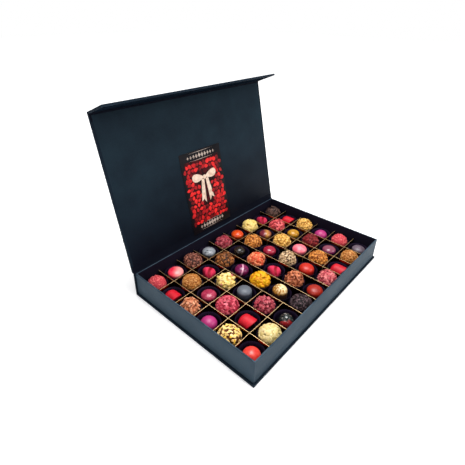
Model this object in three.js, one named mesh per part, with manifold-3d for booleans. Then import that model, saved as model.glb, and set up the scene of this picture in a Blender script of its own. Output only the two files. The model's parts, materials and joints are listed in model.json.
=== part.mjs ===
import * as THREE from 'three';
import { mergeVertices } from 'three/addons/utils/BufferGeometryUtils.js';
import Module from 'manifold-3d';

// A book-style gift box of chocolate pralines, standing open.
// Millimetres, +Z up. The origin is the middle of the base board's underside,
// +X runs along the box's long side and +Y runs back to the hinge.

// The grid of cells, one praline in each.
const PITCH = 36;
const COLUMNS = 9;
const ROWS = 6;
const STRIP = 1.2;
const STRIP_HEIGHT = 19.4;
const GRID_CLEARANCE = 0.5;
// Columns 4 to 6 have no cross strips, apart from the one nearest the hinge.
const SIDE_BLOCK_COLUMNS = 3;

// The tray that holds the grid.
const TRAY_WALL = 2;
const TRAY_FLOOR = 2;
const TRAY_HEIGHT = 36;
const TRAY_WIDTH = COLUMNS * PITCH + 2 * (GRID_CLEARANCE + TRAY_WALL);
const TRAY_DEPTH = ROWS * PITCH + 2 * (GRID_CLEARANCE + TRAY_WALL);

// The cover: base board, spine, lid and flap, all of wrapped greyboard.
const BOARD = 3;
const SPINE = 2;
const SIDE_REVEAL = 2.5;
const FRONT_REVEAL = 2.1;
const COVER_WIDTH = TRAY_WIDTH + 2 * SIDE_REVEAL;
const HINGE_Y = TRAY_DEPTH / 2 + SPINE;
const HINGE_Z = BOARD + TRAY_HEIGHT + 0.5;
const SPINE_TOP = HINGE_Z - 1;

// Along the lid, s is the distance from the hinge to the flap's inner face.
const FLAP_CLEARANCE = 0.4;
const LID_INNER = HINGE_Y + TRAY_DEPTH / 2 + FRONT_REVEAL + FLAP_CLEARANCE;
const LID_START = 1;
const HINGE_GAP = 0.3;
const FLAP_LENGTH = 38.7;
const LID_OPEN = THREE.MathUtils.degToRad(102.2);
const FLAP_OPEN = THREE.MathUtils.degToRad(9.3);

// The greeting card on the inside of the lid.
const CARD_WIDTH = 88;
const CARD_LENGTH = 135;
const CARD_THICKNESS = 0.6;
const CARD_GAP = 0.3;
const CARD_START = 7;
const CARD_OFFSET = -1.5;

// The pleated paper cup under each praline.
const FLOOR_Z = BOARD + TRAY_FLOOR;
const CUP_FOOT = 13.5;
const CUP_MOUTH = 17;
const CUP_HEIGHT = 15.5;
const CUP_WALL = 0.4;
const CUP_BASE = 0.6;
const CUP_SIDES = 12;
const PRALINE_Z = CUP_BASE - 0.3;

// Each recipe is [form, width, height, colour, roughness].
const RECIPES = {
  blood_orange_dome: ['dome', 23, 18.2, 0xdd3a22, 0.35],
  brick_dome: ['button', 23.2, 22.8, 0xb83c14, 0.45],
  magenta_dome: ['dome', 22.5, 19.4, 0xc02a90, 0.5],
  grey_violet_dome: ['button', 21.4, 19.8, 0x6d6478, 0.4],
  marbled_dome: ['dome', 19.8, 20.8, 0x1c2220, 0.15],
  bronze_violet_dome: ['button', 22.4, 20.4, 0x7c3a68, 0.3],
  gold_drip_dome: ['tall', 22, 26, 0xc08a3c, 0.3],
  slate_dome: ['drum', 21.4, 24, 0x5d6570, 0.5],
  pink_dome: ['button', 24, 24, 0xee6090, 0.4],
  rose_pearl_dome: ['button', 22.4, 18.8, 0xb23450, 0.3],
  striped_purple_dome: ['button', 21.4, 24, 0x8a2a78, 0.35],
  crimson_dome: ['button', 21.6, 22, 0xc01c40, 0.3],
  gold_dome: ['button', 21, 22, 0xb8892c, 0.3],
  black_dome: ['button', 19.2, 22.8, 0x22241e, 0.15],
  plum_gold_dome: ['button', 21.8, 22.4, 0x8a3450, 0.3],
  blush_dome: ['button', 24, 21.4, 0xee6478, 0.35],
  silver_dome: ['button', 22.2, 22, 0x9aa6b4, 0.35],
  orange_dome: ['button', 21.8, 22.6, 0xec4416, 0.3],
  chili_cone: ['block', 23.8, 22, 0xd8331c, 0.45],
  cherry_log: ['log', 24, 19.5, 0xdc0f32, 0.25],
  raspberry_leaf: ['leaf', 22, 19.5, 0xc8143c, 0.4],
  almond_nib: ['truffle', 32, 29, 0xe6d07c, 0.7],
  cream_truffle: ['truffle', 30, 28, 0xf0eaa8, 0.8],
  dark_shavings: ['truffle', 31, 29, 0x3c3032, 0.8],
  pink_curls: ['truffle', 30, 28.8, 0xdc6884, 0.7],
  toffee_crumble: ['truffle', 28.6, 28.6, 0xb07838, 0.7],
  ruby_curls: ['truffle', 29.6, 28, 0xb84058, 0.6],
  copper_curls: ['truffle', 29, 28.6, 0xa85c40, 0.6],
  caramel_nut: ['truffle', 31, 29, 0xc88838, 0.6],
  coral_dusted: ['truffle', 28, 26.5, 0xd85460, 0.8],
  crimson_curls: ['truffle', 32, 28.4, 0xc83860, 0.6],
  mango_crumble: ['truffle', 31, 29, 0xf4ac10, 0.7],
  hazelnut_nib: ['truffle', 29.4, 29, 0xc8b088, 0.7],
  dark_cherry_curls: ['truffle', 28.8, 28.2, 0x781c2c, 0.7],
  salmon_curls: ['truffle', 28, 27.5, 0xb4704c, 0.6],
  lemon_bits: ['truffle', 30.4, 29, 0xeadc80, 0.8],
  peach_crumble: ['truffle', 30, 29, 0xe8704c, 0.7],
  golden_crumble: ['truffle', 31.6, 29, 0xd8a850, 0.7],
  cocoa_flake: ['truffle', 31, 29, 0x6c4c30, 0.8],
  rose_curls: ['truffle', 30.6, 29, 0xd0506c, 0.6],
  milk_crumble: ['truffle', 31, 29, 0x6c4038, 0.7],
  lemon_crumble: ['truffle', 31, 29, 0xe8d888, 0.8],
  brown_shavings: ['truffle', 28.6, 28.8, 0x503c34, 0.8],
};

// The menu, from the front row to the hinge and from left to right.
const MENU = [
  ['blood_orange_dome', 'cream_truffle', 'marbled_dome', 'dark_shavings', 'brick_dome',
    'pink_curls', 'cherry_log', 'toffee_crumble', 'grey_violet_dome'],
  ['almond_nib', 'cherry_log', 'ruby_curls', 'gold_drip_dome', 'copper_curls',
    'chili_cone', 'caramel_nut', 'bronze_violet_dome', 'coral_dusted'],
  ['magenta_dome', 'crimson_curls', 'slate_dome', 'mango_crumble', 'raspberry_leaf',
    'hazelnut_nib', 'pink_dome', 'dark_cherry_curls', 'magenta_dome'],
  ['salmon_curls', 'rose_pearl_dome', 'lemon_bits', 'striped_purple_dome', 'peach_crumble',
    'crimson_dome', 'golden_crumble', 'gold_dome', 'golden_crumble'],
  ['cherry_log', 'toffee_crumble', 'raspberry_leaf', 'cocoa_flake', 'black_dome',
    'caramel_nut', 'plum_gold_dome', 'rose_curls', 'cherry_log'],
  ['coral_dusted', 'blush_dome', 'milk_crumble', 'silver_dome', 'ruby_curls',
    'orange_dome', 'lemon_crumble', 'raspberry_leaf', 'brown_shavings'],
];

const wasm = await Module();
wasm.setup();

function solid(geometry) {
  const bare = geometry.index ? geometry.toNonIndexed() : geometry.clone();
  bare.deleteAttribute('normal');
  bare.deleteAttribute('uv');
  const merged = mergeVertices(bare, 1e-4);
  return new wasm.Manifold(new wasm.Mesh({
    numProp: 3,
    vertProperties: new Float32Array(merged.attributes.position.array),
    triVerts: new Uint32Array(merged.index.array),
  }));
}

function geometryOf(body) {
  const cut = body.getMesh();
  const geometry = new THREE.BufferGeometry();
  geometry.setAttribute('position', new THREE.BufferAttribute(cut.vertProperties, 3));
  geometry.setIndex(new THREE.BufferAttribute(cut.triVerts, 1));
  geometry.computeVertexNormals();
  return geometry;
}

function boxBetween(low, high) {
  const size = high.map((value, axis) => value - low[axis]);
  const middle = high.map((value, axis) => (value + low[axis]) / 2);
  return new THREE.BoxGeometry(...size).translate(...middle);
}

// A lathe turned about +Z. It closes on the axis at both ends of the profile.
function turned(profile, sides) {
  const points = profile.map(([radius, height]) => new THREE.Vector2(radius, height));
  return new THREE.LatheGeometry(points, sides).rotateX(Math.PI / 2);
}

function seededRandom(seed) {
  let state = seed;
  return () => {
    state = (state * 1664525 + 1013904223) % 4294967296;
    return state / 4294967296;
  };
}

function finish(colour, roughness, metalness = 0) {
  return new THREE.MeshStandardMaterial({ color: colour, roughness, metalness });
}

const PAPER = finish(0x2c3a44, 0.75);
const INNER_PAPER = finish(0x14181e, 0.8);
const GOLD_CARD = finish(0x9a8452, 0.4, 0.6);
const CARD = finish(0x5a1a1c, 0.5);

function addTray(group) {
  const halfWidth = TRAY_WIDTH / 2;
  const halfDepth = TRAY_DEPTH / 2;
  const outside = boxBetween(
    [-halfWidth, -halfDepth, BOARD],
    [halfWidth, halfDepth, BOARD + TRAY_HEIGHT],
  );
  const hollow = boxBetween(
    [-halfWidth + TRAY_WALL, -halfDepth + TRAY_WALL, FLOOR_Z],
    [halfWidth - TRAY_WALL, halfDepth - TRAY_WALL, BOARD + TRAY_HEIGHT + 1],
  );
  const tray = new THREE.Mesh(geometryOf(solid(outside).subtract(solid(hollow))), PAPER);
  tray.name = 'tray';
  group.add(tray);
}

// The slotted strips, joined where they cross.
function addDividers(group) {
  const width = COLUMNS * PITCH;
  const depth = ROWS * PITCH;
  const block = width / 2 - SIDE_BLOCK_COLUMNS * PITCH;
  const half = STRIP / 2;
  const top = FLOOR_Z + STRIP_HEIGHT;
  const strips = [];
  for (let line = 1; line < COLUMNS; line += 1) {
    const x = line * PITCH - width / 2;
    strips.push(boxBetween([x - half, -depth / 2, FLOOR_Z], [x + half, depth / 2, top]));
  }
  for (let line = 1; line < ROWS; line += 1) {
    const y = line * PITCH - depth / 2;
    if (line === ROWS - 1) {
      strips.push(boxBetween([-width / 2, y - half, FLOOR_Z], [width / 2, y + half, top]));
    } else {
      strips.push(boxBetween([-width / 2, y - half, FLOOR_Z], [-block, y + half, top]));
      strips.push(boxBetween([block, y - half, FLOOR_Z], [width / 2, y + half, top]));
    }
  }
  const joined = strips.map(solid).reduce((grid, strip) => grid.add(strip));
  const dividers = new THREE.Mesh(geometryOf(joined), GOLD_CARD);
  dividers.name = 'divider_grid';
  group.add(dividers);
}

function addCoverBase(group) {
  const half = COVER_WIDTH / 2;
  const front = -TRAY_DEPTH / 2 - FRONT_REVEAL;
  const base = boxBetween([-half, front, 0], [half, HINGE_Y, BOARD]);
  const spine = boxBetween([-half, HINGE_Y - SPINE, 0], [half, HINGE_Y, SPINE_TOP]);
  const cover = new THREE.Mesh(geometryOf(solid(base).add(solid(spine))), PAPER);
  cover.name = 'cover_base';
  group.add(cover);
}

// The lid, card and flap are built shut, then turned open about their hinges.
function addLid(group) {
  const half = COVER_WIDTH / 2;
  const lidEnd = LID_INNER + BOARD;
  const hinge = new THREE.Group();
  hinge.position.set(0, HINGE_Y, HINGE_Z);
  hinge.rotation.x = -LID_OPEN;
  group.add(hinge);

  const lidBox = boxBetween([-half, -lidEnd + HINGE_GAP, 0], [half, -LID_START, BOARD]);
  const lid = new THREE.Mesh(lidBox, INNER_PAPER);
  lid.name = 'lid';
  hinge.add(lid);

  const card = new THREE.Mesh(new THREE.BoxGeometry(CARD_WIDTH, CARD_LENGTH, CARD_THICKNESS), CARD);
  card.name = 'card';
  card.position.set(CARD_OFFSET, -CARD_START - CARD_LENGTH / 2, -CARD_GAP - CARD_THICKNESS / 2);
  hinge.add(card);

  const flapHinge = new THREE.Group();
  flapHinge.position.set(0, -lidEnd, BOARD);
  flapHinge.rotation.x = -FLAP_OPEN;
  hinge.add(flapHinge);

  const flapBox = boxBetween([-half, 0, -BOARD - FLAP_LENGTH], [half, BOARD, -BOARD - HINGE_GAP]);
  const flap = new THREE.Mesh(flapBox, PAPER);
  flap.name = 'flap';
  flapHinge.add(flap);
}

// The cup's outline, from the axis under its foot round to the axis inside it.
function cupProfile(insidePoints) {
  return [
    [0, 0],
    [CUP_FOOT, 0],
    [CUP_MOUTH, CUP_HEIGHT],
    [CUP_MOUTH - CUP_WALL, CUP_HEIGHT],
    [CUP_FOOT - CUP_WALL, CUP_BASE],
    ...insidePoints,
  ];
}

// Points of a moulded dome: a foot, an underside that swells out to the shoulder, a round top.
function domePoints(width, height, shoulder, belly, footShare) {
  const steps = 4;
  const radius = width / 2;
  const swell = radius * (footShare + (1 - footShare) * BULGE);
  const points = [
    [radius * footShare, CUP_BASE],
    [radius * footShare, CUP_BASE + height * belly],
    [swell, CUP_BASE + height * (belly + (shoulder - belly) * BULGE_HEIGHT)],
  ];
  for (let step = 0; step < steps; step += 1) {
    const angle = (step / steps) * Math.PI / 2;
    points.push([
      radius * Math.cos(angle),
      CUP_BASE + height * (shoulder + (1 - shoulder) * Math.sin(angle)),
    ]);
  }
  points.push([0, CUP_BASE + height]);
  return points;
}

// Where the shoulder and the underside lie, as shares of the height, and how wide the foot is.
const DOMES = {
  dome: { shoulder: 0.5, belly: 0.06, footShare: 0.93 },
  button: { shoulder: 0.74, belly: 0.46, footShare: 0.66 },
  drum: { shoulder: 0.76, belly: 0.1, footShare: 0.95 },
  tall: { shoulder: 0.6, belly: 0.1, footShare: 0.96 },
  block: { shoulder: 0.62, belly: 0.1, footShare: 1.04 },
};
// Halfway round the underside, as shares of its way out and up.
const BULGE = 0.7;
const BULGE_HEIGHT = 0.29;

function cupWithDome(form, width, height) {
  const { shoulder, belly, footShare } = DOMES[form];
  const dome = domePoints(width, height, shoulder, belly, footShare);
  return solid(turned(cupProfile(dome), CUP_SIDES));
}

function openCup() {
  return solid(turned(cupProfile([[0, CUP_BASE]]), CUP_SIDES));
}

// A truffle fills its cup to the brim, so that cup has no hollow.
function filledCup() {
  return solid(turned([[0, 0], [CUP_FOOT, 0], [CUP_MOUTH, CUP_HEIGHT], [0, CUP_HEIGHT]], CUP_SIDES));
}

// A log with an arched top. Its near end is cut on a slant, the upper edge leaning out.
function logSolid(width, height) {
  const half = width * 0.44;
  const length = width;
  const undercut = width * 0.34;
  const arch = new THREE.Shape();
  arch.moveTo(-half, 0);
  arch.lineTo(half, 0);
  arch.lineTo(half, height - half);
  arch.absarc(0, height - half, half, 0, Math.PI, false);
  arch.closePath();
  const bar = new THREE.ExtrudeGeometry(arch, { depth: length, bevelEnabled: false, curveSegments: 8 });
  bar.rotateX(Math.PI / 2).translate(0, length / 2, PRALINE_Z);
  const knife = new THREE.BoxGeometry(2 * width, width, 4 * height);
  knife.translate(0, -width / 2, 0).rotateX(-Math.atan2(undercut, height));
  knife.translate(0, undercut - length / 2, PRALINE_Z);
  return solid(bar).subtract(solid(knife));
}

// A leaf seen from above: a round with a shallow bay, a corner, a pointed tip and a full side.
const LEAF_ROUND = 0.84;
const LEAF_EDGE = [
  { at: 2.6, depth: -0.14, spread: 0.4 },
  { at: 1.75, depth: 0.08, spread: 0.4 },
  { at: 3.98, depth: 0.44, spread: 0.42 },
  { at: 5.5, depth: 0.26, spread: 0.95 },
];
const LEAF_SIDES = 18;

function leafReach(angle) {
  let reach = LEAF_ROUND;
  for (const { at, depth, spread } of LEAF_EDGE) {
    const apart = Math.atan2(Math.sin(angle - at), Math.cos(angle - at));
    reach += depth * Math.exp(-((apart / spread) ** 2));
  }
  return reach;
}

// The leaf rises in rings of its own outline, each [share of the outline, share of the height].
const LEAF_RINGS = [[0.97, 0], [1, 0.3], [0.93, 0.68], [0.7, 0.92]];

function leafSolid(width, height) {
  const places = [];
  const corners = [];
  for (const [share, rise] of LEAF_RINGS) {
    for (let side = 0; side < LEAF_SIDES; side += 1) {
      const angle = (side / LEAF_SIDES) * Math.PI * 2;
      const radius = (width / 2) * share * leafReach(angle);
      places.push(radius * Math.cos(angle), radius * Math.sin(angle), PRALINE_Z + height * rise);
    }
  }
  const foot = places.length / 3;
  places.push(0, 0, PRALINE_Z, 0, 0, PRALINE_Z + height);
  const last = (LEAF_RINGS.length - 1) * LEAF_SIDES;
  for (let side = 0; side < LEAF_SIDES; side += 1) {
    const next = (side + 1) % LEAF_SIDES;
    corners.push(foot, next, side, foot + 1, last + side, last + next);
    for (let ring = 0; ring < last; ring += LEAF_SIDES) {
      corners.push(ring + side, ring + next, ring + LEAF_SIDES + next);
      corners.push(ring + side, ring + LEAF_SIDES + next, ring + LEAF_SIDES + side);
    }
  }
  const body = new THREE.BufferGeometry();
  body.setAttribute('position', new THREE.Float32BufferAttribute(places, 3));
  body.setIndex(corners);
  return solid(body);
}

// A truffle: a slightly squat ball whose surface is drawn in and out into crags.
const CRAG_DEPTH = 0.09;

function truffleSolid(width, height, random) {
  const ball = new THREE.IcosahedronGeometry(1, 2);
  ball.deleteAttribute('normal');
  ball.deleteAttribute('uv');
  const crags = mergeVertices(ball, 1e-4);
  const place = crags.attributes.position;
  const point = new THREE.Vector3();
  for (let index = 0; index < place.count; index += 1) {
    point.fromBufferAttribute(place, index);
    point.multiplyScalar(1 - CRAG_DEPTH * random());
    place.setXYZ(index, point.x, point.y, point.z);
  }
  crags.rotateZ(random() * Math.PI * 2);
  crags.computeBoundingBox();
  const { min, max } = crags.boundingBox;
  crags.translate(-(min.x + max.x) / 2, -(min.y + max.y) / 2, -min.z);
  const spread = Math.max(max.x - min.x, max.y - min.y);
  crags.scale(width / spread, width / spread, height / (max.z - min.z));
  return solid(crags.translate(0, 0, PRALINE_Z));
}

function pralineSolid(form, width, height, random) {
  if (form in DOMES) {
    return cupWithDome(form, width, height);
  }
  if (form === 'log') {
    return openCup().add(logSolid(width, height));
  }
  if (form === 'leaf') {
    return openCup().add(leafSolid(width, height));
  }
  return filledCup().add(truffleSolid(width, height, random));
}

function addPralines(group) {
  MENU.forEach((names, row) => {
    names.forEach((name, column) => {
      const [form, width, height, colour, roughness] = RECIPES[name];
      const random = seededRandom(17 + column + COLUMNS * row);
      const body = pralineSolid(form, width, height, random);
      const praline = new THREE.Mesh(geometryOf(body), finish(colour, roughness));
      praline.name = `c${column + 1}_r${row + 1}_${name}`;
      praline.position.set(
        (column - (COLUMNS - 1) / 2) * PITCH,
        (row - (ROWS - 1) / 2) * PITCH,
        FLOOR_Z,
      );
      group.add(praline);
    });
  });
}

const pralineBox = new THREE.Group();
addTray(pralineBox);
addDividers(pralineBox);
addCoverBase(pralineBox);
addLid(pralineBox);
addPralines(pralineBox);

export default pralineBox;
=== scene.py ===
# %% [markdown]
# # A gift box of chocolate pralines
#
# On the real object this is bookbinder's work and confectioner's work in one: a cover of
# greyboard wrapped in dark paper, a tray, a grid of gilt card, and 54 sweets in black paper
# cups. The construction comes ready as a frame of plain solids in the row's coordinates.
# This lesson dresses each of them in a finer mesh and a finish of its own.
# The frame is loaded first, because every place below is read from it.

# %% The frame
import json
import math

import bmesh
import bpy
import numpy as np
from mathutils import Matrix, Vector


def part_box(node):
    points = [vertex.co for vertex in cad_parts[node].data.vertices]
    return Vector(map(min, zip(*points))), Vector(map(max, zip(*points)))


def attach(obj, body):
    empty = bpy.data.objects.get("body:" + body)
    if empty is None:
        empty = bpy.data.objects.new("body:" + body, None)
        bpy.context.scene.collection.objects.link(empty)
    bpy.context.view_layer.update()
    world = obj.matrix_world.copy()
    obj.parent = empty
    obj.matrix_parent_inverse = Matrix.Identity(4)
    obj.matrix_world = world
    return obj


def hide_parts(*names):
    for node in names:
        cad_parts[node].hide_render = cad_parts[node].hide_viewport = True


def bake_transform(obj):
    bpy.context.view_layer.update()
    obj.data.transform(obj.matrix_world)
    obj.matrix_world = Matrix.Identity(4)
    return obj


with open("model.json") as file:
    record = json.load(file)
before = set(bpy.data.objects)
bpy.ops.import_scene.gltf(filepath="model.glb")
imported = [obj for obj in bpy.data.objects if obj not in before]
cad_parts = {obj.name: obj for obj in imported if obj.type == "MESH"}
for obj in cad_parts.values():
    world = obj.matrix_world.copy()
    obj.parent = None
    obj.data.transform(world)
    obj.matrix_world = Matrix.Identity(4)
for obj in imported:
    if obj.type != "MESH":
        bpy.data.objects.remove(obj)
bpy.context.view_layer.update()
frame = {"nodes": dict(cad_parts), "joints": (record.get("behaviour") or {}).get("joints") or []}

MM = 0.001

# %% [markdown]
# ## Places
#
# The real box is measured in millimetres, so the lesson works in millimetres and turns them
# into metres only when a mesh is made. The lid and the flap are easiest to draw shut, lying
# flat, and then to turn open about their hinges, as the hand does. Two matrices do that.

# %% Places read from the frame
def box_mm(node):
    low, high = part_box(node)
    return np.array(low) / MM, np.array(high) / MM


def hinge_mm(name):
    joint = next(j for j in frame["joints"] if j["name"] == name)
    return np.array(joint["pos_m"]) / MM, math.radians(joint["range_deg"][0])


def turned_open(place, angle):
    return Matrix.Translation(place) @ Matrix.Rotation(angle, 4, "X")


def carried(points, matrix):
    """Points in mm, moved by a matrix whose translation is in mm."""
    turn = np.array(matrix)
    return np.asarray(points, float) @ turn[:3, :3].T + turn[:3, 3]


tray_low, tray_high = box_mm("tray")
cover_low, cover_high = box_mm("cover_base")
grid_low, grid_high = box_mm("divider_grid")
lid_place, lid_angle = hinge_mm("lid_hinge")
flap_place, flap_angle = hinge_mm("flap_hinge")
LID = turned_open(lid_place, lid_angle)
FLAP = turned_open(flap_place, lid_angle + flap_angle)
HALF_WIDTH = cover_high[0]
BOARD = 3.0
TRAY_FLOOR = grid_low[2]
LID_LENGTH = -carried([flap_place], LID.inverted())[0][1]
print("lid turned", round(math.degrees(lid_angle), 1), "degrees, length", round(LID_LENGTH, 1))

# %% [markdown]
# ## Camera
#
# A camera seen from the front left and from above shows the whole grid and the inside of the
# lid. Its place and lens come from the box's own corners and cell lines, so it is set by
# numbers: a position, a direction, a slight roll and a small shift of the picture.

# %% Camera
CAMERA_PLACE = Vector((-375.318, -261.042, 371.322)) * MM
LOOK = Vector((0.65042, 0.58205, -0.48803)).normalized()
ROLL = math.radians(0.642)
LENS = 27.629
SENSOR_WIDTH = 36
SHIFT = (0.00417, -0.04639)


def add_camera():
    data = bpy.data.cameras.new("camera")
    camera = bpy.data.objects.new("camera", data)
    bpy.context.scene.collection.objects.link(camera)
    level_right = LOOK.cross(Vector((0, 0, 1))).normalized()
    level_up = level_right.cross(LOOK)
    right = level_right * math.cos(ROLL) + level_up * math.sin(ROLL)
    up = right.cross(LOOK)
    turn = Matrix((right, up, -LOOK)).transposed()
    camera.matrix_world = Matrix.Translation(CAMERA_PLACE) @ turn.to_4x4()
    data.lens = LENS
    data.sensor_width = SENSOR_WIDTH
    data.shift_x, data.shift_y = SHIFT
    data.clip_start = 0.01
    bpy.context.scene.camera = camera


add_camera()
print("camera", [round(x, 3) for x in CAMERA_PLACE])

# %% [markdown]
# ## Light and floor
#
# The pieces lie in a bright white studio, yet the papers are almost black. A white room on
# all sides would grey them, so the room is dimmer for reflections than it looks: most light
# comes from one soft panel above, less from the front right and the left. The panels fade
# with distance, so the floor glows for the camera, more the farther it is, and stays white.

# %% Light and floor
ROOM_SEEN = 1.0
ROOM_LIGHT = 0.36
PANELS = {
    "panel_above": {"place": (0.10, 0.10, 1.25), "size": 0.70, "watts": 22.0},
    "panel_front": {"place": (0.55, -1.05, 0.85), "size": 0.80, "watts": 9.0},
    "panel_left": {"place": (-1.25, -0.10, 0.80), "size": 0.80, "watts": 5.0},
}
AIM = Vector((0.0, 0.0, 0.05))
FLOOR_HALF = 6.0
# The floor's glow, from a near to a far distance in metres.
FLOOR_GLOW = {"From Min": 0.4, "From Max": 1.4, "To Min": 0.20, "To Max": 0.8}


def add_room():
    world = bpy.data.worlds.new("white_studio")
    world.use_nodes = True
    nodes, links = world.node_tree.nodes, world.node_tree.links
    ray = nodes.new("ShaderNodeLightPath")
    level = nodes.new("ShaderNodeMix")
    level.inputs["A"].default_value = ROOM_LIGHT
    level.inputs["B"].default_value = ROOM_SEEN
    links.new(ray.outputs["Is Camera Ray"], level.inputs["Factor"])
    links.new(level.outputs["Result"], nodes["Background"].inputs["Strength"])
    nodes["Background"].inputs["Color"].default_value = (1, 1, 1, 1)
    bpy.context.scene.world = world


def add_panel(name, place, size, watts):
    light = bpy.data.lights.new(name, "AREA")
    light.size = size
    light.energy = watts
    panel = bpy.data.objects.new(name, light)
    panel.location = place
    panel.rotation_euler = (AIM - Vector(place)).to_track_quat("-Z", "Y").to_euler()
    bpy.context.scene.collection.objects.link(panel)


def add_floor():
    sides = [(-1, -1), (1, -1), (1, 1), (-1, 1)]
    corners = [(FLOOR_HALF * x, FLOOR_HALF * y, 0) for x, y in sides]
    mesh = bpy.data.meshes.new("floor")
    mesh.from_pydata(corners, [], [(0, 1, 2, 3)])
    floor = bpy.data.objects.new("floor", mesh)
    bpy.context.scene.collection.objects.link(floor)
    white = bpy.data.materials.new("white_floor")
    white.use_nodes = True
    shader = white.node_tree.nodes["Principled BSDF"]
    shader.inputs["Base Color"].default_value = (0.96, 0.96, 0.96, 1)
    shader.inputs["Roughness"].default_value = 0.9
    shader.inputs["Specular IOR Level"].default_value = 0.1
    shader.inputs["Emission Color"].default_value = (1, 1, 1, 1)
    nodes, links = white.node_tree.nodes, white.node_tree.links
    distance = nodes.new("ShaderNodeVectorMath")
    distance.operation = "LENGTH"
    glow = nodes.new("ShaderNodeMapRange")
    for name, value in FLOOR_GLOW.items():
        glow.inputs[name].default_value = value
    seen = nodes.new("ShaderNodeMath")
    seen.operation = "MULTIPLY"
    links.new(nodes.new("ShaderNodeNewGeometry").outputs["Position"], distance.inputs[0])
    links.new(distance.outputs["Value"], glow.inputs["Value"])
    links.new(glow.outputs["Result"], seen.inputs[0])
    links.new(nodes.new("ShaderNodeLightPath").outputs["Is Camera Ray"], seen.inputs[1])
    links.new(seen.outputs["Value"], shader.inputs["Emission Strength"])
    mesh.materials.append(white)


add_room()
for name, panel in PANELS.items():
    add_panel(name, **panel)
add_floor()
bpy.context.scene.view_settings.view_transform = "Standard"
print(len(PANELS), "soft panels")

# %% [markdown]
# ## A bench for finishes
#
# Every finish here is made of nodes: noise for fibres and flecks, ramps for its colours, and
# a bump for what the fingers would feel. Writing each node by hand hides the idea, so a small
# class keeps one material and wires its nodes. Its lengths are millimetres on the object.

# %% A bench for finishes
def rgb(code):
    """A colour as a paint chart names it, in linear light."""
    parts = [int(code[i : i + 2], 16) / 255 for i in (1, 3, 5)]
    return [p / 12.92 if p < 0.04045 else ((p + 0.055) / 1.055) ** 2.4 for p in parts] + [1.0]


class Finish:
    """One material, and the few ways in which this scene wires its nodes."""

    def __init__(self, name, roughness=0.5, specular=0.5, metallic=0.0):
        self.material = bpy.data.materials.new(name)
        self.material.use_nodes = True
        self.nodes = self.material.node_tree.nodes
        self.links = self.material.node_tree.links
        self.shader = self.nodes["Principled BSDF"]
        self.set("Roughness", roughness)
        self.set("Specular IOR Level", specular)
        self.set("Metallic", metallic)

    def feed(self, socket, value):
        if isinstance(value, bpy.types.NodeSocket):
            self.links.new(value, socket)
        else:
            socket.default_value = value

    def set(self, name, value):
        self.feed(self.shader.inputs[name], value)

    def add(self, kind, settings=None, **sockets):
        node = self.nodes.new("ShaderNode" + kind)
        for key, value in (settings or {}).items():
            setattr(node, key, value)
        for key, value in sockets.items():
            self.feed(node.inputs[key.replace("_", " ")], value)
        return node

    def place(self, kind="Object"):
        return self.add("TexCoord").outputs[kind]

    def noise(self, grain, detail=3.0, spread=None, stretch=None):
        """Noise with lumps of about that many millimetres."""
        where = self.place()
        if stretch:
            where = self.add("Mapping", Vector=where, Scale=stretch).outputs[0]
        settings = {"Scale": 1 / (grain * MM), "Detail": detail, "Vector": where}
        if spread:
            settings["Distortion"] = spread
        return self.add("TexNoise", None, **settings).outputs["Fac"]

    def attribute(self, name):
        return self.add("Attribute", {"attribute_name": name}).outputs["Fac"]

    def math(self, operation, *values):
        node = self.add("Math", {"operation": operation})
        for socket, value in zip(node.inputs, values):
            self.feed(socket, value)
        return node.outputs[0]

    def ramp(self, value, *stops):
        """Colours or greys at places from 0 to 1 along a value."""
        node = self.add("ValToRGB", Fac=value)
        marks = node.color_ramp.elements
        while len(marks) < len(stops):
            marks.new(0.5)
        for mark, (place, colour) in zip(marks, sorted(stops, key=lambda stop: stop[0])):
            mark.position = place
            mark.color = rgb(colour) if isinstance(colour, str) else (colour,) * 3 + (1,)
        return node.outputs["Color"]

    def mix(self, share, first, second, way="MIX"):
        node = self.add("Mix", {"data_type": "RGBA", "blend_type": way})
        self.feed(node.inputs["Factor"], share)
        colours = [socket for socket in node.inputs if socket.type == "RGBA"]
        for socket, value in zip(colours, (first, second)):
            self.feed(socket, rgb(value) if isinstance(value, str) else value)
        return [socket for socket in node.outputs if socket.type == "RGBA"][0]

    def colour(self, value):
        self.set("Base Color", rgb(value) if isinstance(value, str) else value)
        return self

    def relief(self, height, depth, strength=1.0):
        """A bump of that many millimetres."""
        bump = self.add("Bump", Height=height, Strength=strength, Distance=depth * MM)
        self.links.new(bump.outputs["Normal"], self.shader.inputs["Normal"])
        return self

    def coat(self, weight, roughness):
        self.set("Coat Weight", weight)
        self.set("Coat Roughness", roughness)
        return self


# %% [markdown]
# ## A bench for meshes
#
# The pieces are built as arrays of points and lists of faces, because most of them are one
# section repeated: round a cup, along a board, over a ball. One function makes them real.
# Closed bodies have their faces turned outward, and edges sharper than a set angle stay crisp.

# %% A bench for meshes
def make_piece(name, points, faces, finishes, finish_of=None, *, crisp):
    """A Blender object from points in mm. crisp is the angle above which an edge is sharp."""
    mesh = bpy.data.meshes.new(name)
    mesh.from_pydata((np.asarray(points, float) * MM).tolist(), [], [list(f) for f in faces])
    for finish in finishes:
        mesh.materials.append(finish)
    if finish_of is not None:
        mesh.polygons.foreach_set("material_index", np.asarray(finish_of, np.int32))
    body = bmesh.new()
    body.from_mesh(mesh)
    bmesh.ops.recalc_face_normals(body, faces=body.faces)
    body.to_mesh(mesh)
    body.free()
    mesh.polygons.foreach_set("use_smooth", [True] * len(mesh.polygons))
    mesh.set_sharp_from_angle(angle=math.radians(crisp))
    mesh.update()
    piece = bpy.data.objects.new(name, mesh)
    bpy.context.scene.collection.objects.link(piece)
    return piece


def point_values(piece, name, values):
    """Gives each point of a piece a number that its finish can read."""
    layer = piece.data.attributes.new(name, "FLOAT", "POINT")
    layer.data.foreach_set("value", np.asarray(values, np.float32))


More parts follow.
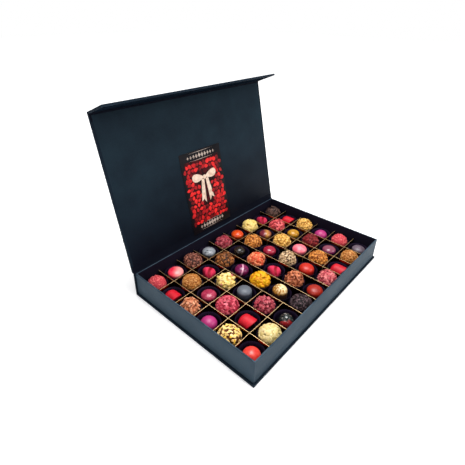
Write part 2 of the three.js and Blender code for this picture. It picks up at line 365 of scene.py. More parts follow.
def bridged(ring, next_ring, count):
    """The quads between two closed rings of points, given by their first indices."""
    return [
        (ring + i, ring + (i + 1) % count, next_ring + (i + 1) % count, next_ring + i)
        for i in range(count)
    ]


def stacked(rings, count, first=0):
    """The quads between each closed ring of count points and the next, from a first index on."""
    starts = [first + row * count for row in range(rings)]
    return [quad for low, high in zip(starts, starts[1:]) for quad in bridged(low, high, count)]


def fan(middle, ring, count):
    """The triangles between one point and a closed ring."""
    return [(middle, ring + (i + 1) % count, ring + i) for i in range(count)]


def turned(profile, sides):
    """A body of revolution from (radius, height) pairs. It closes with a fan at each end."""
    angles = np.arange(sides) * 2 * math.pi / sides
    circle = np.stack([np.cos(angles), np.sin(angles)], 1)
    rings = [np.c_[circle * radius, np.full(sides, height)] for radius, height in profile[1:-1]]
    points = np.concatenate([[[0, 0, profile[0][1]]], *rings, [[0, 0, profile[-1][1]]]])
    last = 1 + (len(rings) - 1) * sides
    faces = fan(0, 1, sides) + stacked(len(rings), sides, 1) + fan(len(points) - 1, last, sides)
    return points, faces


def merged(parts):
    """Several (points, faces) as one."""
    points, faces, offset = [], [], 0
    for some_points, some_faces in parts:
        points.append(np.asarray(some_points, float))
        faces += [tuple(corner + offset for corner in face) for face in some_faces]
        offset += len(some_points)
    return np.concatenate(points), faces


# %% [markdown]
# ## Cover paper
#
# Real box covers are wrapped in dyed paper: nearly black with a blue cast, dull, with fibres
# of slightly lighter and darker tone. Along the folds the dye rubs off first. So there are
# two finishes, the flat of the paper and its worn folds, and noise breaks up both. On the
# lid's lining a shade is painted into the colour, darker toward the hinge.

# %% Cover paper
def height_share(finish):
    split = finish.add("SeparateXYZ", Vector=finish.place("Generated"))
    return split.outputs["Z"]


def paper(name, dark, light, roughness=0.62, specular=0.06, foot=None):
    """A dyed paper. With foot, its lowest part is darker by that colour, a painted shade."""
    finish = Finish(name, specular=specular)
    clouds = finish.noise(38, 3)
    fibres = finish.noise(0.9, 5)
    tone = finish.math("MULTIPLY_ADD", fibres, 0.45, finish.math("MULTIPLY", clouds, 0.55))
    colour = finish.ramp(tone, (0.32, dark), (0.68, light))
    if foot:
        # Painted shade: the lowest part is multiplied darker by the foot colour.
        fade = finish.ramp(height_share(finish), (0.02, foot), (0.62, "#ffffff"))
        colour = finish.mix(1.0, colour, fade, "MULTIPLY")
    finish.colour(colour)
    finish.set("Roughness", finish.ramp(fibres, (0.3, roughness - 0.06), (0.7, roughness + 0.08)))
    finish.relief(fibres, 0.05, 0.35)
    return finish.material


def worn_fold(name, dark, light):
    finish = Finish(name, roughness=0.58, specular=0.08)
    rubs = finish.noise(7, 6, stretch=(0.25, 1, 1))
    finish.colour(finish.ramp(rubs, (0.45, dark), (0.72, light)))
    finish.relief(finish.noise(0.8, 4), 0.05, 0.4)
    return finish.material


COVER_PAPER = paper("cover_paper", "#0f1923", "#14202b")
LINING_PAPER = paper("hinge_lining_paper", "#0b0e17", "#11151f", specular=0.02)
# The lid's lining gets a painted shade, darker toward the hinge.
LID_PAPER = paper("lid_lining_paper", "#15202a", "#1e2e38", foot="#90849c")
COVER_FOLD = worn_fold("cover_paper_fold", "#0f1925", "#283846")
TRAY_PAPER = paper("tray_paper", "#283845", "#32434f", roughness=0.6, specular=0.12)
TRAY_FOLD = worn_fold("tray_paper_fold", "#2a3945", "#44535f")
TRAY_INSIDE = paper("tray_inside_paper", "#100d18", "#181622", specular=0.02)
FLAP_PAPER = paper("flap_lining_paper", "#0d1620", "#131d28", specular=0.0)
papers = [material.name for material in bpy.data.materials if "paper" in material.name]
print(len(papers), "papers:", *papers)

# %% [markdown]
# ## Cover boards
#
# The base board, spine, lid and flap are greyboard, 2 to 3 mm thick, each wrapped so tightly
# that its edges are only a little round. A cube with bevelled edges is the plain way to make
# them. The bevel's faces take the worn finish, because that is where hands and tables rub.

# %% Cover boards
FOLD = 0.45


def board(low, high, fold=FOLD):
    """Points, faces and which faces are folds, for one wrapped board."""
    low, high = np.array(low, float), np.array(high, float)
    body = bmesh.new()
    bmesh.ops.create_cube(body, size=1)
    for corner in body.verts:
        corner.co = Vector(low + (np.array(corner.co) + 0.5) * (high - low))
    edges = list(body.edges)
    bmesh.ops.bevel(body, geom=edges, offset=fold, segments=3, profile=0.5, affect="EDGES")
    body.normal_update()
    points = np.array([corner.co for corner in body.verts])
    faces = [[corner.index for corner in face.verts] for face in body.faces]
    folds = [int(max(abs(part) for part in face.normal) < 0.999) for face in body.faces]
    body.free()
    return points, faces, folds


def board_piece(name, boards, matrix, finishes, rides_on, replaces=()):
    points, faces = merged([(b[0], b[1]) for b in boards])
    folds = [fold for b in boards for fold in b[2]]
    piece = make_piece(name, carried(points, matrix), faces, finishes, folds, crisp=50)
    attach(piece, rides_on)
    if replaces:
        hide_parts(*replaces)


SPINE_THICK = 2.0
# The spine's board starts this far below the upper face of the base board.
SPINE_SUNK = 0.6
FLAP_DEPTH = 38.7
# The boards stop short of each hinge by these gaps, which the paper closes.
LID_GAP = 1.0
FLAP_GAP = 0.3
cover_finishes = [COVER_PAPER, COVER_FOLD]
as_built = Matrix.Identity(4)

spine_low = (-HALF_WIDTH, cover_high[1] - SPINE_THICK, BOARD - SPINE_SUNK)
board_piece(
    "base_board",
    [board(cover_low, (HALF_WIDTH, cover_high[1], BOARD))],
    as_built, cover_finishes, "base", ["cover_base"],
)
board_piece(
    "spine_board",
    [board(spine_low, cover_high)],
    as_built, cover_finishes, "base",
)
board_piece(
    "lid_board",
    [board((-HALF_WIDTH, -LID_LENGTH + FLAP_GAP, 0), (HALF_WIDTH, -LID_GAP, BOARD))],
    LID, cover_finishes, "lid", ["lid"],
)
board_piece(
    "flap_board",
    [board((-HALF_WIDTH, 0, -BOARD - FLAP_DEPTH), (HALF_WIDTH, BOARD, -BOARD - FLAP_GAP))],
    FLAP, cover_finishes, "flap", ["flap"],
)
print("boards 4, lid to", round(LID_LENGTH, 1), "mm, flap", FLAP_DEPTH, "mm deep")

# %% [markdown]
# ## Linings
#
# A wrapped board shows raw turn-ins on its inside, so the maker pastes a lining sheet over
# them, a few millimetres short of each edge. It is paper, so it stands only 0.15 mm proud:
# enough for a fine line of light along its edge.

# %% Linings
LINING = 0.15
LINING_SUNK = 0.05
LINING_FOLD = 0.05
LINING_INSET = 3.5
LINING_HALF = HALF_WIDTH - LINING_INSET
FLAP_INNER = LID_LENGTH - BOARD
# How far the linings stay from the hinges, and the lid's one from the flap's board.
HINGE_MARGIN = 9
CORNER_MARGIN = 1.5

lid_lining = board(
    (-LINING_HALF, -FLAP_INNER + CORNER_MARGIN, -LINING),
    (LINING_HALF, -HINGE_MARGIN, LINING_SUNK), LINING_FOLD,
)
board_piece("lid_lining", [lid_lining], LID, [LID_PAPER, LID_PAPER], "lid")
flap_lining = board(
    (-LINING_HALF, BOARD - LINING_SUNK, -BOARD - FLAP_DEPTH + LINING_INSET),
    (LINING_HALF, BOARD + LINING, -BOARD - HINGE_MARGIN), LINING_FOLD,
)
board_piece("flap_lining", [flap_lining], FLAP, [FLAP_PAPER, FLAP_PAPER], "flap")
print("linings 2")

# %% [markdown]
# ## Paper hinges
# Nothing but the wrapping paper joins the boards of a book-style box. It has to bend with the
# lid, so a rigid strip would tear away from one side. Each hinge is a thin strip along a curved
# path, with many points across the bend.

# %% Paper hinges
STRIP_PAPER = 0.16
STRIP_STEPS = 12
# Each strip ends this far short of the boards' sides.
STRIP_SHORT = 0.4
BEND_STEPS = 14
PASTED_STEPS = 8


def bend(points):
    """A smooth path through a Bezier's four points."""
    t = np.linspace(0, 1, BEND_STEPS)[:, None]
    a, b, c, d = (np.array(p, float) for p in points)
    return a * (1 - t) ** 3 + 3 * b * t * (1 - t) ** 2 + 3 * c * t**2 * (1 - t) + d * t**3


def pasted(start, end):
    """Places along a stretch where the paper is pasted on a board."""
    return np.linspace(start, end, PASTED_STEPS)


def strip_along(path, half_width):
    """A sheet of paper that follows a path in the (y, z) plane and runs along X."""
    path = np.array(path, float)
    along = np.gradient(path, axis=0)
    normal = np.stack([-along[:, 1], along[:, 0]], 1)
    normal /= np.linalg.norm(normal, axis=1)[:, None]
    proud = normal * STRIP_PAPER / 2
    loop = np.concatenate([path + proud, (path - proud)[::-1]])
    count = len(loop)
    xs = np.linspace(-half_width, half_width, STRIP_STEPS)
    points = np.concatenate([np.c_[np.full(count, x), loop] for x in xs])
    faces = stacked(STRIP_STEPS, count)
    for row in (0, STRIP_STEPS - 1):
        rim = [row * count + i for i in range(count)]
        faces += [(rim[i], rim[i + 1], rim[-2 - i], rim[-1 - i]) for i in range(len(path) - 1)]
    return points, faces


def on_lid(along, out):
    """(y, z) of a place that far along the lid and that far out from its inner face."""
    return carried([(0, -along, out)], LID)[0][1:]


def on_flap(out, along):
    return carried([(0, out, along)], FLAP)[0][1:]


def hinge_strip(name, path, finish):
    points, faces = strip_along(path, HALF_WIDTH - STRIP_SHORT)
    piece = make_piece(name, points, faces, [finish], crisp=60)
    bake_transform(piece)


# %% [markdown]
# There are four strips: outside and inside at the spine, and outside and inside at the flap.
# Each path starts pasted on one board, goes round the hinge in a smooth bend, and ends pasted
# on the next board.

# %% The four hinge strips
# How far the middle of each strip stands off the face that it is pasted on.
OFF_OUTER, OFF_SPINE_INNER, OFF_FLAP_INNER = 0.04, 0.08, 0.06
lid_outer = BOARD + OFF_OUTER
spine_y = cover_high[1] + OFF_OUTER
spine_z = cover_high[2]

outer_path = [(spine_y, z) for z in pasted(30, spine_z - 1)]
outer_path += list(bend([
    (spine_y, spine_z - 0.6), (spine_y, spine_z + 1.2),
    on_lid(-0.6, BOARD + 0.2), on_lid(1.6, lid_outer),
]))
outer_path += [on_lid(s, lid_outer) for s in pasted(2.2, 9)]
hinge_strip(
    "spine_hinge_outside", outer_path,
    COVER_PAPER,
)

top_y = tray_high[1] + 0.25
inner_path = list(bend([
    (top_y, spine_z + 0.1), (spine_y - 0.4, spine_z + 0.1),
    on_lid(0.2, -0.1), on_lid(1.6, -OFF_SPINE_INNER),
]))
inner_path += [on_lid(s, -OFF_SPINE_INNER) for s in pasted(2.2, 10)]
hinge_strip(
    "spine_hinge_inside", inner_path,
    LINING_PAPER,
)

outer_flap = [on_lid(s, lid_outer) for s in pasted(LID_LENGTH - 9, LID_LENGTH - 1.6)]
outer_flap += list(bend([
    on_lid(LID_LENGTH - 1.2, BOARD + 0.05), on_lid(LID_LENGTH + 0.05, BOARD + 0.1),
    on_flap(-0.1, 0.05), on_flap(-0.05, -1.2),
]))
outer_flap += [on_flap(-OFF_OUTER, z) for z in pasted(-1.8, -10)]
hinge_strip(
    "flap_hinge_outside", outer_flap,
    COVER_PAPER,
)

flap_face = BOARD + OFF_FLAP_INNER
inner_flap = [on_lid(s, -OFF_FLAP_INNER) for s in pasted(FLAP_INNER - 9, FLAP_INNER - 1.8)]
inner_flap += list(bend([
    on_lid(FLAP_INNER - 1.4, -OFF_FLAP_INNER), on_lid(FLAP_INNER - 0.2, -0.1),
    on_flap(BOARD + 0.1, -BOARD - 0.2), on_flap(flap_face, -BOARD - 1.4),
]))
inner_flap += [on_flap(flap_face, z) for z in pasted(-BOARD - 1.8, -BOARD - 9.5)]
hinge_strip(
    "flap_hinge_inside", inner_flap,
    LINING_PAPER,
)
print("hinge strips 4")

# %% [markdown]
# ## Tray
#
# The tray is a wrapped board too, but hollow: slate paper outside, black inside. The paper
# turns over the rim, and on the left wall a dark line of painted shade runs just under it,
# where the fold leaves a gap. A section through the wall, carried round a rectangle with small
# corner radii, gives all of that in one closed body.

# %% Tray
CORNER_STEPS = 5
# Which face of a band runs along the left wall: the one after three round corners.
LEFT_SIDE = 3 * (CORNER_STEPS + 1) - 1


def rounded_rectangle(half_x, half_y, radius):
    """Points anticlockwise round a rectangle with round corners."""
    points = []
    for quarter, (sx, sy) in enumerate([(1, -1), (1, 1), (-1, 1), (-1, -1)]):
        x, y = sx * (half_x - radius), sy * (half_y - radius)
        for step in range(CORNER_STEPS + 1):
            angle = (quarter - 1 + step / CORNER_STEPS) * math.pi / 2
            points.append((x + radius * math.cos(angle), y + radius * math.sin(angle)))
    return np.array(points)


TRAY_WALL = 2.0
CORNER = 0.8
CORNER_LEAST = 0.12
OUTSIDE, RIM, INSIDE, SHADE_LINE = 0, 1, 2, 3
rim_z = tray_high[2]
# Each mark is (distance in from the outer face, height, finish of the band that follows).
WALL_SECTION = [
    (0.3, tray_low[2], OUTSIDE),
    (0.0, tray_low[2] + 0.3, OUTSIDE),
    # A band of painted shade under the rim, on the left wall only, in the dark cover paper.
    (0.0, rim_z - 0.95, SHADE_LINE),
    (0.0, rim_z - 0.5, RIM),
    (0.18, rim_z - 0.15, RIM),
    (0.55, rim_z, RIM),
    (TRAY_WALL - 0.55, rim_z, RIM),
    (TRAY_WALL - 0.18, rim_z - 0.15, INSIDE),
    (TRAY_WALL, rim_z - 0.5, INSIDE),
    (TRAY_WALL, TRAY_FLOOR, INSIDE),
]


def tray_body():
    rings, finish_of = [], []
    for inset, height, _ in WALL_SECTION:
        radius = max(CORNER - inset, CORNER_LEAST)
        outline = rounded_rectangle(tray_high[0] - inset, tray_high[1] - inset, radius)
        rings.append(np.c_[outline, np.full(len(outline), height)])
    count = len(rings[0])
    for _, _, finish in WALL_SECTION[:-1]:
        band = [OUTSIDE if finish == SHADE_LINE else finish] * count
        if finish == SHADE_LINE:
            band[LEFT_SIDE] = SHADE_LINE
        finish_of += band
    last = (len(rings) - 1) * count
    faces = stacked(len(rings), count)
    faces += [tuple(range(count))[::-1], tuple(range(last, last + count))]
    finish_of += [OUTSIDE, INSIDE]
    return np.concatenate(rings), faces, finish_of


tray_points, tray_faces, tray_finish_of = tray_body()
tray_finishes = [TRAY_PAPER, TRAY_FOLD, TRAY_INSIDE, COVER_PAPER]
tray = make_piece("tray_shell", tray_points, tray_faces, tray_finishes, tray_finish_of, crisp=50)
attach(tray, "base")
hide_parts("tray")
print("tray", [round(x, 1) for x in tray_high - tray_low], "mm")

# %% [markdown]
# ## Divider strips
#
# The grid is made of gilt card strips that slot into each other where they cross: the long
# ones are cut from the top, the cross strips from below. One cross strip runs the full width
# at the back, and the others cross only the columns at each side. Each strip is its outline
# with the slots in it, given its thickness and a hair of bevel. Its foil mirrors the sweets.

# %% Divider strips
CARD_THICK = 0.75
SLOT = 1.05
STRIP_BEVEL = 0.12
COLUMNS, ROWS, PITCH = 9, 6, 36.0
SIDE_COLUMNS = 3
grid_height = grid_high[2] - grid_low[2]


def gilt_finish(name, dull, bright, roughness):
    finish = Finish(name, metallic=1.0)
    flecks = finish.noise(1.6, 4)
    finish.colour(finish.ramp(flecks, (0.3, dull), (0.7, bright)))
    wear = finish.noise(4, 3)
    finish.set("Roughness", finish.ramp(wear, (0.3, roughness), (0.75, roughness + 0.12)))
    finish.relief(finish.noise(6, 2), 0.03, 0.3)
    return finish.material


FOIL = gilt_finish("gold_foil", "#7c4c1e", "#a8702e", 0.08)
GILT_EDGE = gilt_finish("gilt_edge", "#ac8e60", "#d8ba8c", 0.40)


def slotted_outline(length, slots, from_top):
    """The strip's face as points (along, up), with half-height slots at the given places."""
    half_up = grid_height / 2
    low_edge, top_edge = [(0.0, 0.0)], [(length, grid_height)]
    for place in slots if not from_top else []:
        a, b = place - SLOT / 2, place + SLOT / 2
        low_edge += [(a, 0.0), (a, half_up), (b, half_up), (b, 0.0)]
    low_edge.append((length, 0.0))
    for place in slots[::-1] if from_top else []:
        a, b = place + SLOT / 2, place - SLOT / 2
        top_edge += [(a, grid_height), (a, half_up), (b, half_up), (b, grid_height)]
    top_edge.append((0.0, grid_height))
    return low_edge + top_edge


def strip_piece(name, start, along_x, length, slots, from_top):
    outline = slotted_outline(length, slots, from_top)
    body = bmesh.new()
    sides = []
    for side in (-CARD_THICK / 2, CARD_THICK / 2):
        across = [(a, side, u) if along_x else (side, a, u) for a, u in outline]
        sides.append([body.verts.new(Vector(start) + Vector(p)) for p in across])
    faces = [body.faces.new(sides[0]), body.faces.new(sides[1][::-1])]
    count = len(outline)
    for i in range(count):
        j = (i + 1) % count
        body.faces.new((sides[0][j], sides[0][i], sides[1][i], sides[1][j]))
    rims = [edge for face in faces for edge in face.edges]
    bmesh.ops.bevel(body, geom=rims, offset=STRIP_BEVEL, segments=2, profile=0.5, affect="EDGES")
    body.normal_update()
    points = np.array([corner.co for corner in body.verts])
    made = [[corner.index for corner in face.verts] for face in body.faces]
    flat_side = 1 if along_x else 0
    edge_of = [int(abs(face.normal[flat_side]) < 0.99) for face in body.faces]
    body.free()
    piece = make_piece(name, points, made, [FOIL, GILT_EDGE], edge_of, crisp=30)
    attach(piece, "base")
    return piece


width, depth = COLUMNS * PITCH, ROWS * PITCH
for line in range(1, COLUMNS):
    x = line * PITCH - width / 2
    outer = line <= SIDE_COLUMNS or line >= COLUMNS - SIDE_COLUMNS
    slots = [row * PITCH for row in range(1, ROWS) if outer or row == ROWS - 1]
    start = (x, -depth / 2, TRAY_FLOOR)
    strip_piece(f"strip_long_{line}", start, False, depth, slots, True)
block = SIDE_COLUMNS * PITCH
for line in range(1, ROWS):
    y = line * PITCH - depth / 2
    if line == ROWS - 1:
        slots = [column * PITCH for column in range(1, COLUMNS)]
        start = (-width / 2, y, TRAY_FLOOR)
        strip_piece(f"strip_cross_{line}", start, True, width, slots, False)
        continue
    for side, x in (("left", -width / 2), ("right", width / 2 - block - CARD_THICK)):
        offset = 0 if side == "left" else CARD_THICK
        slots = [offset + column * PITCH for column in range(1, SIDE_COLUMNS)]
        length = block + CARD_THICK
        start = (x, y, TRAY_FLOOR)
        strip_piece(f"strip_cross_{line}_{side}", start, True, length, slots, False)
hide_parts("divider_grid")

# %% [markdown]
# ## Paper cups
#
# Each sweet sits in a black cup of pleated paper. A press folds the pleats: flat at the foot
# and deepest at the rim, which is never quite even. So the wall is a ring whose radius goes
# in and out, and the swing grows with height. Thin paper still has two sides, so each cup is
# a closed shell with an inner and an outer face.

# %% Paper cups
CUP_FOOT = 13.2
CUP_MOUTH = 16.6
CUP_LIMIT = 17.15
CUP_HEIGHT = 15.5
CUP_LEVELS = (0.0, 0.04, 0.3, 0.65, 1.0)
CUP_PAPER = 0.12
CUP_LIFT = 0.03
CUP_LEAN = 0.25
RIM_UNEVEN = (-0.3, 0.15)
PLEATS = 40
PLEAT_DEPTH = 0.55
PLEAT_UNEVEN = (0.65, 1.15)
ANY_TURN = 6.28

cup_finish = Finish("black_cup_paper", roughness=0.7, specular=0.03)
cup_flecks = cup_finish.noise(0.7, 4)
cup_finish.colour(cup_finish.ramp(cup_flecks, (0.35, "#0e0814"), (0.75, "#241a30")))
cup_finish.relief(cup_flecks, 0.04, 0.4)
CUP_FINISH = cup_finish.material


def cup_points(centre, random):
    """A cup's points and faces. The shell runs up its outside, over the rim and down inside."""
    around = PLEATS * 4
    angle = np.arange(around) * 2 * math.pi / around
    zigzag = np.tile([1.0, 0.0, -1.0, 0.0], PLEATS)
    uneven = np.repeat(random.uniform(*PLEAT_UNEVEN, PLEATS), 4)
    lean = np.sin(angle + random.uniform(0, ANY_TURN)) * CUP_LEAN
    rim = np.repeat(random.uniform(*RIM_UNEVEN, PLEATS), 4)

    def ring(share, side):
        swing = PLEAT_DEPTH * (0.15 + 0.85 * share) * zigzag * uneven
        radius = CUP_FOOT + (CUP_MOUTH - CUP_FOOT) * share + swing + lean * share
        radius = np.minimum(radius, CUP_LIMIT) + side * CUP_PAPER / 2
        foot = CUP_LIFT + (CUP_PAPER if side < 0 and share == 0 else 0)
        up = foot + CUP_HEIGHT * share + rim * share**3
        return np.c_[radius * np.cos(angle), radius * np.sin(angle), up]

    rings = [ring(share, 1) for share in CUP_LEVELS]
    rings += [ring(share, -1) for share in CUP_LEVELS[::-1]]
    points = np.concatenate([*rings, [[0, 0, CUP_LIFT], [0, 0, CUP_LIFT + CUP_PAPER]]])
    last, under = (len(rings) - 1) * around, len(points) - 2
    faces = stacked(len(rings), around) + fan(under, 0, around) + fan(under + 1, last, around)
    return points + centre, faces


# %% [markdown]
# ## Moulded shells
#
# The smaller sweets are moulded in polished cups, then sprayed with coloured cocoa butter.
# They come out with a smooth top over upright or tucked sides, so a turned profile is the true
# way to make them: a foot, an underside that swells to the shoulder, and an ellipse above.

# %% Moulded shells
# For each form: where the shoulder and the underside lie, as shares of the height, how wide
# the foot is, and how square the top is.
FORMS = {
    "dome": (0.50, 0.06, 0.93, 2.05),
    "button": (0.70, 0.42, 0.66, 2.0),
    "drum": (0.76, 0.10, 0.95, 2.2),
    "tall": (0.60, 0.10, 0.96, 2.1),
    "block": (0.62, 0.10, 1.04, 2.3),
}
# The tops of the low, tucked ones lie this much lower than in the frame's plain solids.
BUTTON_DROP = 0.9
UNDER_STEPS, TOP_STEPS = 9, 20


def shell_profile(form, across, height):
    shoulder, belly, foot_share, square = FORMS[form]
    height -= BUTTON_DROP if form == "button" else 0
    radius = across / 2
    foot = radius * foot_share
    side_top = height * shoulder
    profile = [(0, 0), (foot - 0.7, 0), (foot - 0.2, 0.15), (foot, 0.6)]
    for step in range(UNDER_STEPS):
        angle = step / UNDER_STEPS * math.pi / 2
        rise = height * (belly + (shoulder - belly) * (1 - math.cos(angle)))
        profile.append((foot + (radius - foot) * math.sin(angle), rise))
    for step in range(TOP_STEPS):
        angle = step / TOP_STEPS * math.pi / 2
        out = math.cos(angle) ** (2 / square)
        up = math.sin(angle) ** (2 / square)
        profile.append((radius * out, side_top + (height - side_top) * up))
    profile.append((0, height))
    return profile


# %% [markdown]
# The log isn't round. Its mould is half a barrel, so it is made of arches set in a row: the
# first lie on the slanted, hollow near end, and the last shrink to close the round far end.

# %% Log shells
# A log's half width, the slant of its near end and how hollow that end is, as shares of its
# length, and the share of the length from which its far end turns round.
LOG_HALF, LOG_SLANT, LOG_HOLLOW = 0.44, 0.34, 0.07
LOG_TURNS = 0.6


def log_shell(across, height):
    """A half barrel. Its far end is round, its near end is cut on a hollow slant."""
    half = across * LOG_HALF
    side = height - half
    arch = [(half, 0.0), (half + 0.05, side * 0.3), (half + 0.05, side * 0.6)]
    arch += [(half * math.cos(a), side + half * math.sin(a)) for a in np.linspace(0, math.pi, 25)]
    arch += [(-half - 0.05, side * 0.6), (-half - 0.05, side * 0.3), (-half, 0.0)]
    arch = np.array(arch)
    up = arch[:, 1] / height
    near = across * (LOG_SLANT * (1 - up) - 0.5 + LOG_HOLLOW * np.sin(math.pi * up))
    far_shares = LOG_TURNS + (1 - LOG_TURNS) * np.sin(np.linspace(0.1, 1, 12) * math.pi / 2)
    sections = []
    for share in (0.0, 0.012, 0.2, 0.4, LOG_TURNS, *far_shares):
        end = max(share - LOG_TURNS, 0) / (1 - LOG_TURNS)
        shrink = max(1 - end**2.6, 0.0) ** 0.5 * 0.9 + 0.1 if end else 1.0
        edge = 0.965 if share == 0 else 1.0
        y = near * (1 - share) + across / 2 * share
        rise = 0.30 + 0.70 * shrink if end else 1.0
        sections.append(np.c_[arch[:, 0] * shrink * edge, y, arch[:, 1] * rise * edge])
    count = len(arch)
    middle = [0, sections[0][:, 1].max(), side * 0.55]
    points = np.concatenate([*sections, [middle]])
    last = (len(sections) - 1) * count
    faces = stacked(len(sections), count) + fan(len(points) - 1, 0, count)
    faces.append(tuple(range(last, last + count)))
    return points, faces


# %% [markdown]
# The leaf is flat-sided and low, with a bay, a corner and a tip. Its outline is a round whose
# radius has soft lobes. Rings of that outline climb the wall and close over the top, and a
# wavy groove is pressed into them. Each point also gets a number for the shade painted in the
# groove.

# %% Leaf shells
# A leaf's edge, seen from above, is a round with lobes: (direction, depth, spread) of its bay,
# its corner, its tip and its full side.
LEAF_ROUND = 0.84
LEAF_EDGE = [(2.6, -0.20, 0.50), (1.62, 0.24, 0.42), (3.98, 0.40, 0.42), (5.5, 0.12, 0.95)]
LEAF_WALL = 0.60
# The groove's direction, its width and depth, and its place and sway across the leaf.
GROOVE_TURN = 0.75
GROOVE_WIDE, GROOVE_DEEP = 0.13, 0.03
GROOVE_ASIDE, GROOVE_SWAY = 0.09, 0.07


def leaf_shell(across, height):
    """A leaf with a tip, a bay in one side and a wavy groove over it. Returns the groove too."""
    sides, steps = 96, 26
    angle = np.arange(sides) * 2 * math.pi / sides
    reach = np.full(sides, LEAF_ROUND)
    for at, depth, spread in LEAF_EDGE:
        apart = np.arctan2(np.sin(angle - at), np.cos(angle - at))
        reach += depth * np.exp(-((apart / spread) ** 2))
    edge = np.stack([np.cos(angle), np.sin(angle)], 1) * (across / 2 * reach)[:, None]
    levels = [(0.95, 0.0), (0.98, 0.04), (1.0, 0.16)]
    for share in np.sin(np.linspace(1, 0.03, steps) * math.pi / 2):
        levels.append((share, LEAF_WALL + (1 - LEAF_WALL) * math.sqrt(1 - share**2.6)))
    rings = [np.c_[edge * share, np.full(sides, height * rise)] for share, rise in levels]
    points = np.concatenate([*rings, [[0, 0, 0], [0, 0, height]]])
    x, y = points[:, 0], points[:, 1]
    along = x * math.cos(GROOVE_TURN) + y * math.sin(GROOVE_TURN)
    aside = x * math.sin(GROOVE_TURN) - y * math.cos(GROOVE_TURN)
    off = aside - across * (GROOVE_ASIDE + GROOVE_SWAY * np.sin(5.0 * along / across))
    bands = np.exp(-((off / (GROOVE_WIDE * across)) ** 2))
    bands *= np.clip((points[:, 2] / height - LEAF_WALL) / 0.2, 0, 1)
    points[:, 2] -= GROOVE_DEEP * height * bands
    last, foot = (len(rings) - 1) * sides, len(points) - 2
    faces = stacked(len(rings), sides) + fan(foot, 0, sides) + fan(foot + 1, last, sides)
    return points, faces, bands


# %% [markdown]
# ## Colours of the shells
#
# Coloured cocoa butter is sprayed, flicked or wiped into the mould before the chocolate, so
# the pattern is part of one smooth skin. Each finish starts from a satin skin, with two close
# tones, a fine pearl fleck and a painted shade toward the foot, and some add a fade, a stripe,
# a capped or painted lit top, or a speckle.

# %% Colours of the shells
# A skin is darker toward its foot by this colour, a painted shade, and patterns run level across
# the view.
SKIN_FOOT_SHADE = "#6c5c58"
ACROSS = (0.67, -0.74, 0.0)


def skin(name, dark, light, gloss=0.3, pearl=0.06, foot=SKIN_FOOT_SHADE):
    """A sprayed cocoa butter skin, with shade painted toward the foot. Returns it and its colour.
    """
    finish = Finish(name, roughness=gloss, specular=0.3)
    tone = finish.noise(5.5, 3)
    flecks = finish.noise(0.5, 2)
    base = finish.ramp(tone, (0.35, dark), (0.65, light))
    shine = finish.ramp(flecks, (0.6, 0.0), (0.8, pearl))
    colour = finish.mix(shine, base, "#ffffff", "SCREEN")
    # Painted shade: the colour is multiplied darker toward the foot.
    shade = finish.ramp(height_share(finish), (0.36, foot), (0.66, "#ffffff"))
    finish.relief(finish.noise(3.0, 2), 0.05, 0.25)
    finish.coat(0.2, gloss * 0.7)
    return finish, finish.mix(1.0, colour, shade, "MULTIPLY")


def across_sweet(finish, turn=ACROSS):
    """0 at one side of the sweet and 1 at the other, measured along a direction."""
    centred = finish.add("VectorMath", {"operation": "SUBTRACT"})
    finish.feed(centred.inputs[0], finish.place("Generated"))
    centred.inputs[1].default_value = (0.5, 0.5, 0.5)
    along = finish.add("VectorMath", {"operation": "DOT_PRODUCT"})
    finish.feed(along.inputs[0], centred.outputs[0])
    along.inputs[1].default_value = turn
    return finish.math("ADD", along.outputs["Value"], 0.5)


# %% [markdown]
# Five ways of spraying are enough for most shells. All but the plain one lay another colour
# over a part of the satin skin, where a ramp turns a place or a noise into a share.

# %% Five ways of spraying
def plain_skin(name, dark, light, gloss=0.3, pearl=0.06):
    finish, colour = skin(name, dark, light, gloss, pearl)
    finish.colour(colour)
    return finish.material


def faded_skin(name, dark, light, other, gloss, *stops):
    """Another colour fades in across the sweet, by the (place, share) pairs of its stops."""
    finish, colour = skin(name, dark, light, gloss)
    where = finish.math("MULTIPLY_ADD", finish.noise(6, 2), 0.25, across_sweet(finish))
    finish.colour(finish.mix(finish.ramp(where, *stops), colour, other))
    return finish.material


def striped_skin(name, dark, light, stripe):
    finish, colour = skin(name, dark, light, 0.28)
    where = finish.math("ADD", across_sweet(finish, (0.64, -0.70, -0.36)), 0.04)
    wobble = finish.math("MULTIPLY_ADD", finish.noise(3, 3), 0.04, where)
    band = finish.ramp(wobble, (0.400, 0.0), (0.425, 0.95), (0.510, 0.95), (0.535, 0.0))
    finish.colour(finish.mix(band, colour, stripe))
    return finish.material


def capped_or_toplit_skin(name, dark, light, cap_or_lit_top, at, gloss, foot=SKIN_FOOT_SHADE):
    """The top differs from the sides: a second colour, or a lighter top painted where the light
    falls.
    """
    finish, colour = skin(name, dark, light, gloss, foot=foot)
    rise = finish.math("MULTIPLY_ADD", finish.noise(4, 3), 0.12, height_share(finish))
    share = finish.ramp(rise, (at, 0.0), (at + 0.12, 1.0))
    finish.colour(finish.mix(share, colour, cap_or_lit_top))
    return finish.material


def speckled_skin(name, dark, light, speck, grain, amount, gloss):
    finish, colour = skin(name, dark, light, gloss)
    share = finish.ramp(finish.noise(grain, 4), (amount, 0.0), (amount + 0.07, 1.0))
    finish.colour(finish.mix(share, colour, speck))
    return finish.material


# %% [markdown]
# Three shells need more. The marbled one is nearly black with red and white wiped through
# it, so twisted noise picks out the veins. The tall gold one has a dark chocolate foot, a gold
# body and cream that runs down from the top. The leaf is dull, with shade painted into its groove.

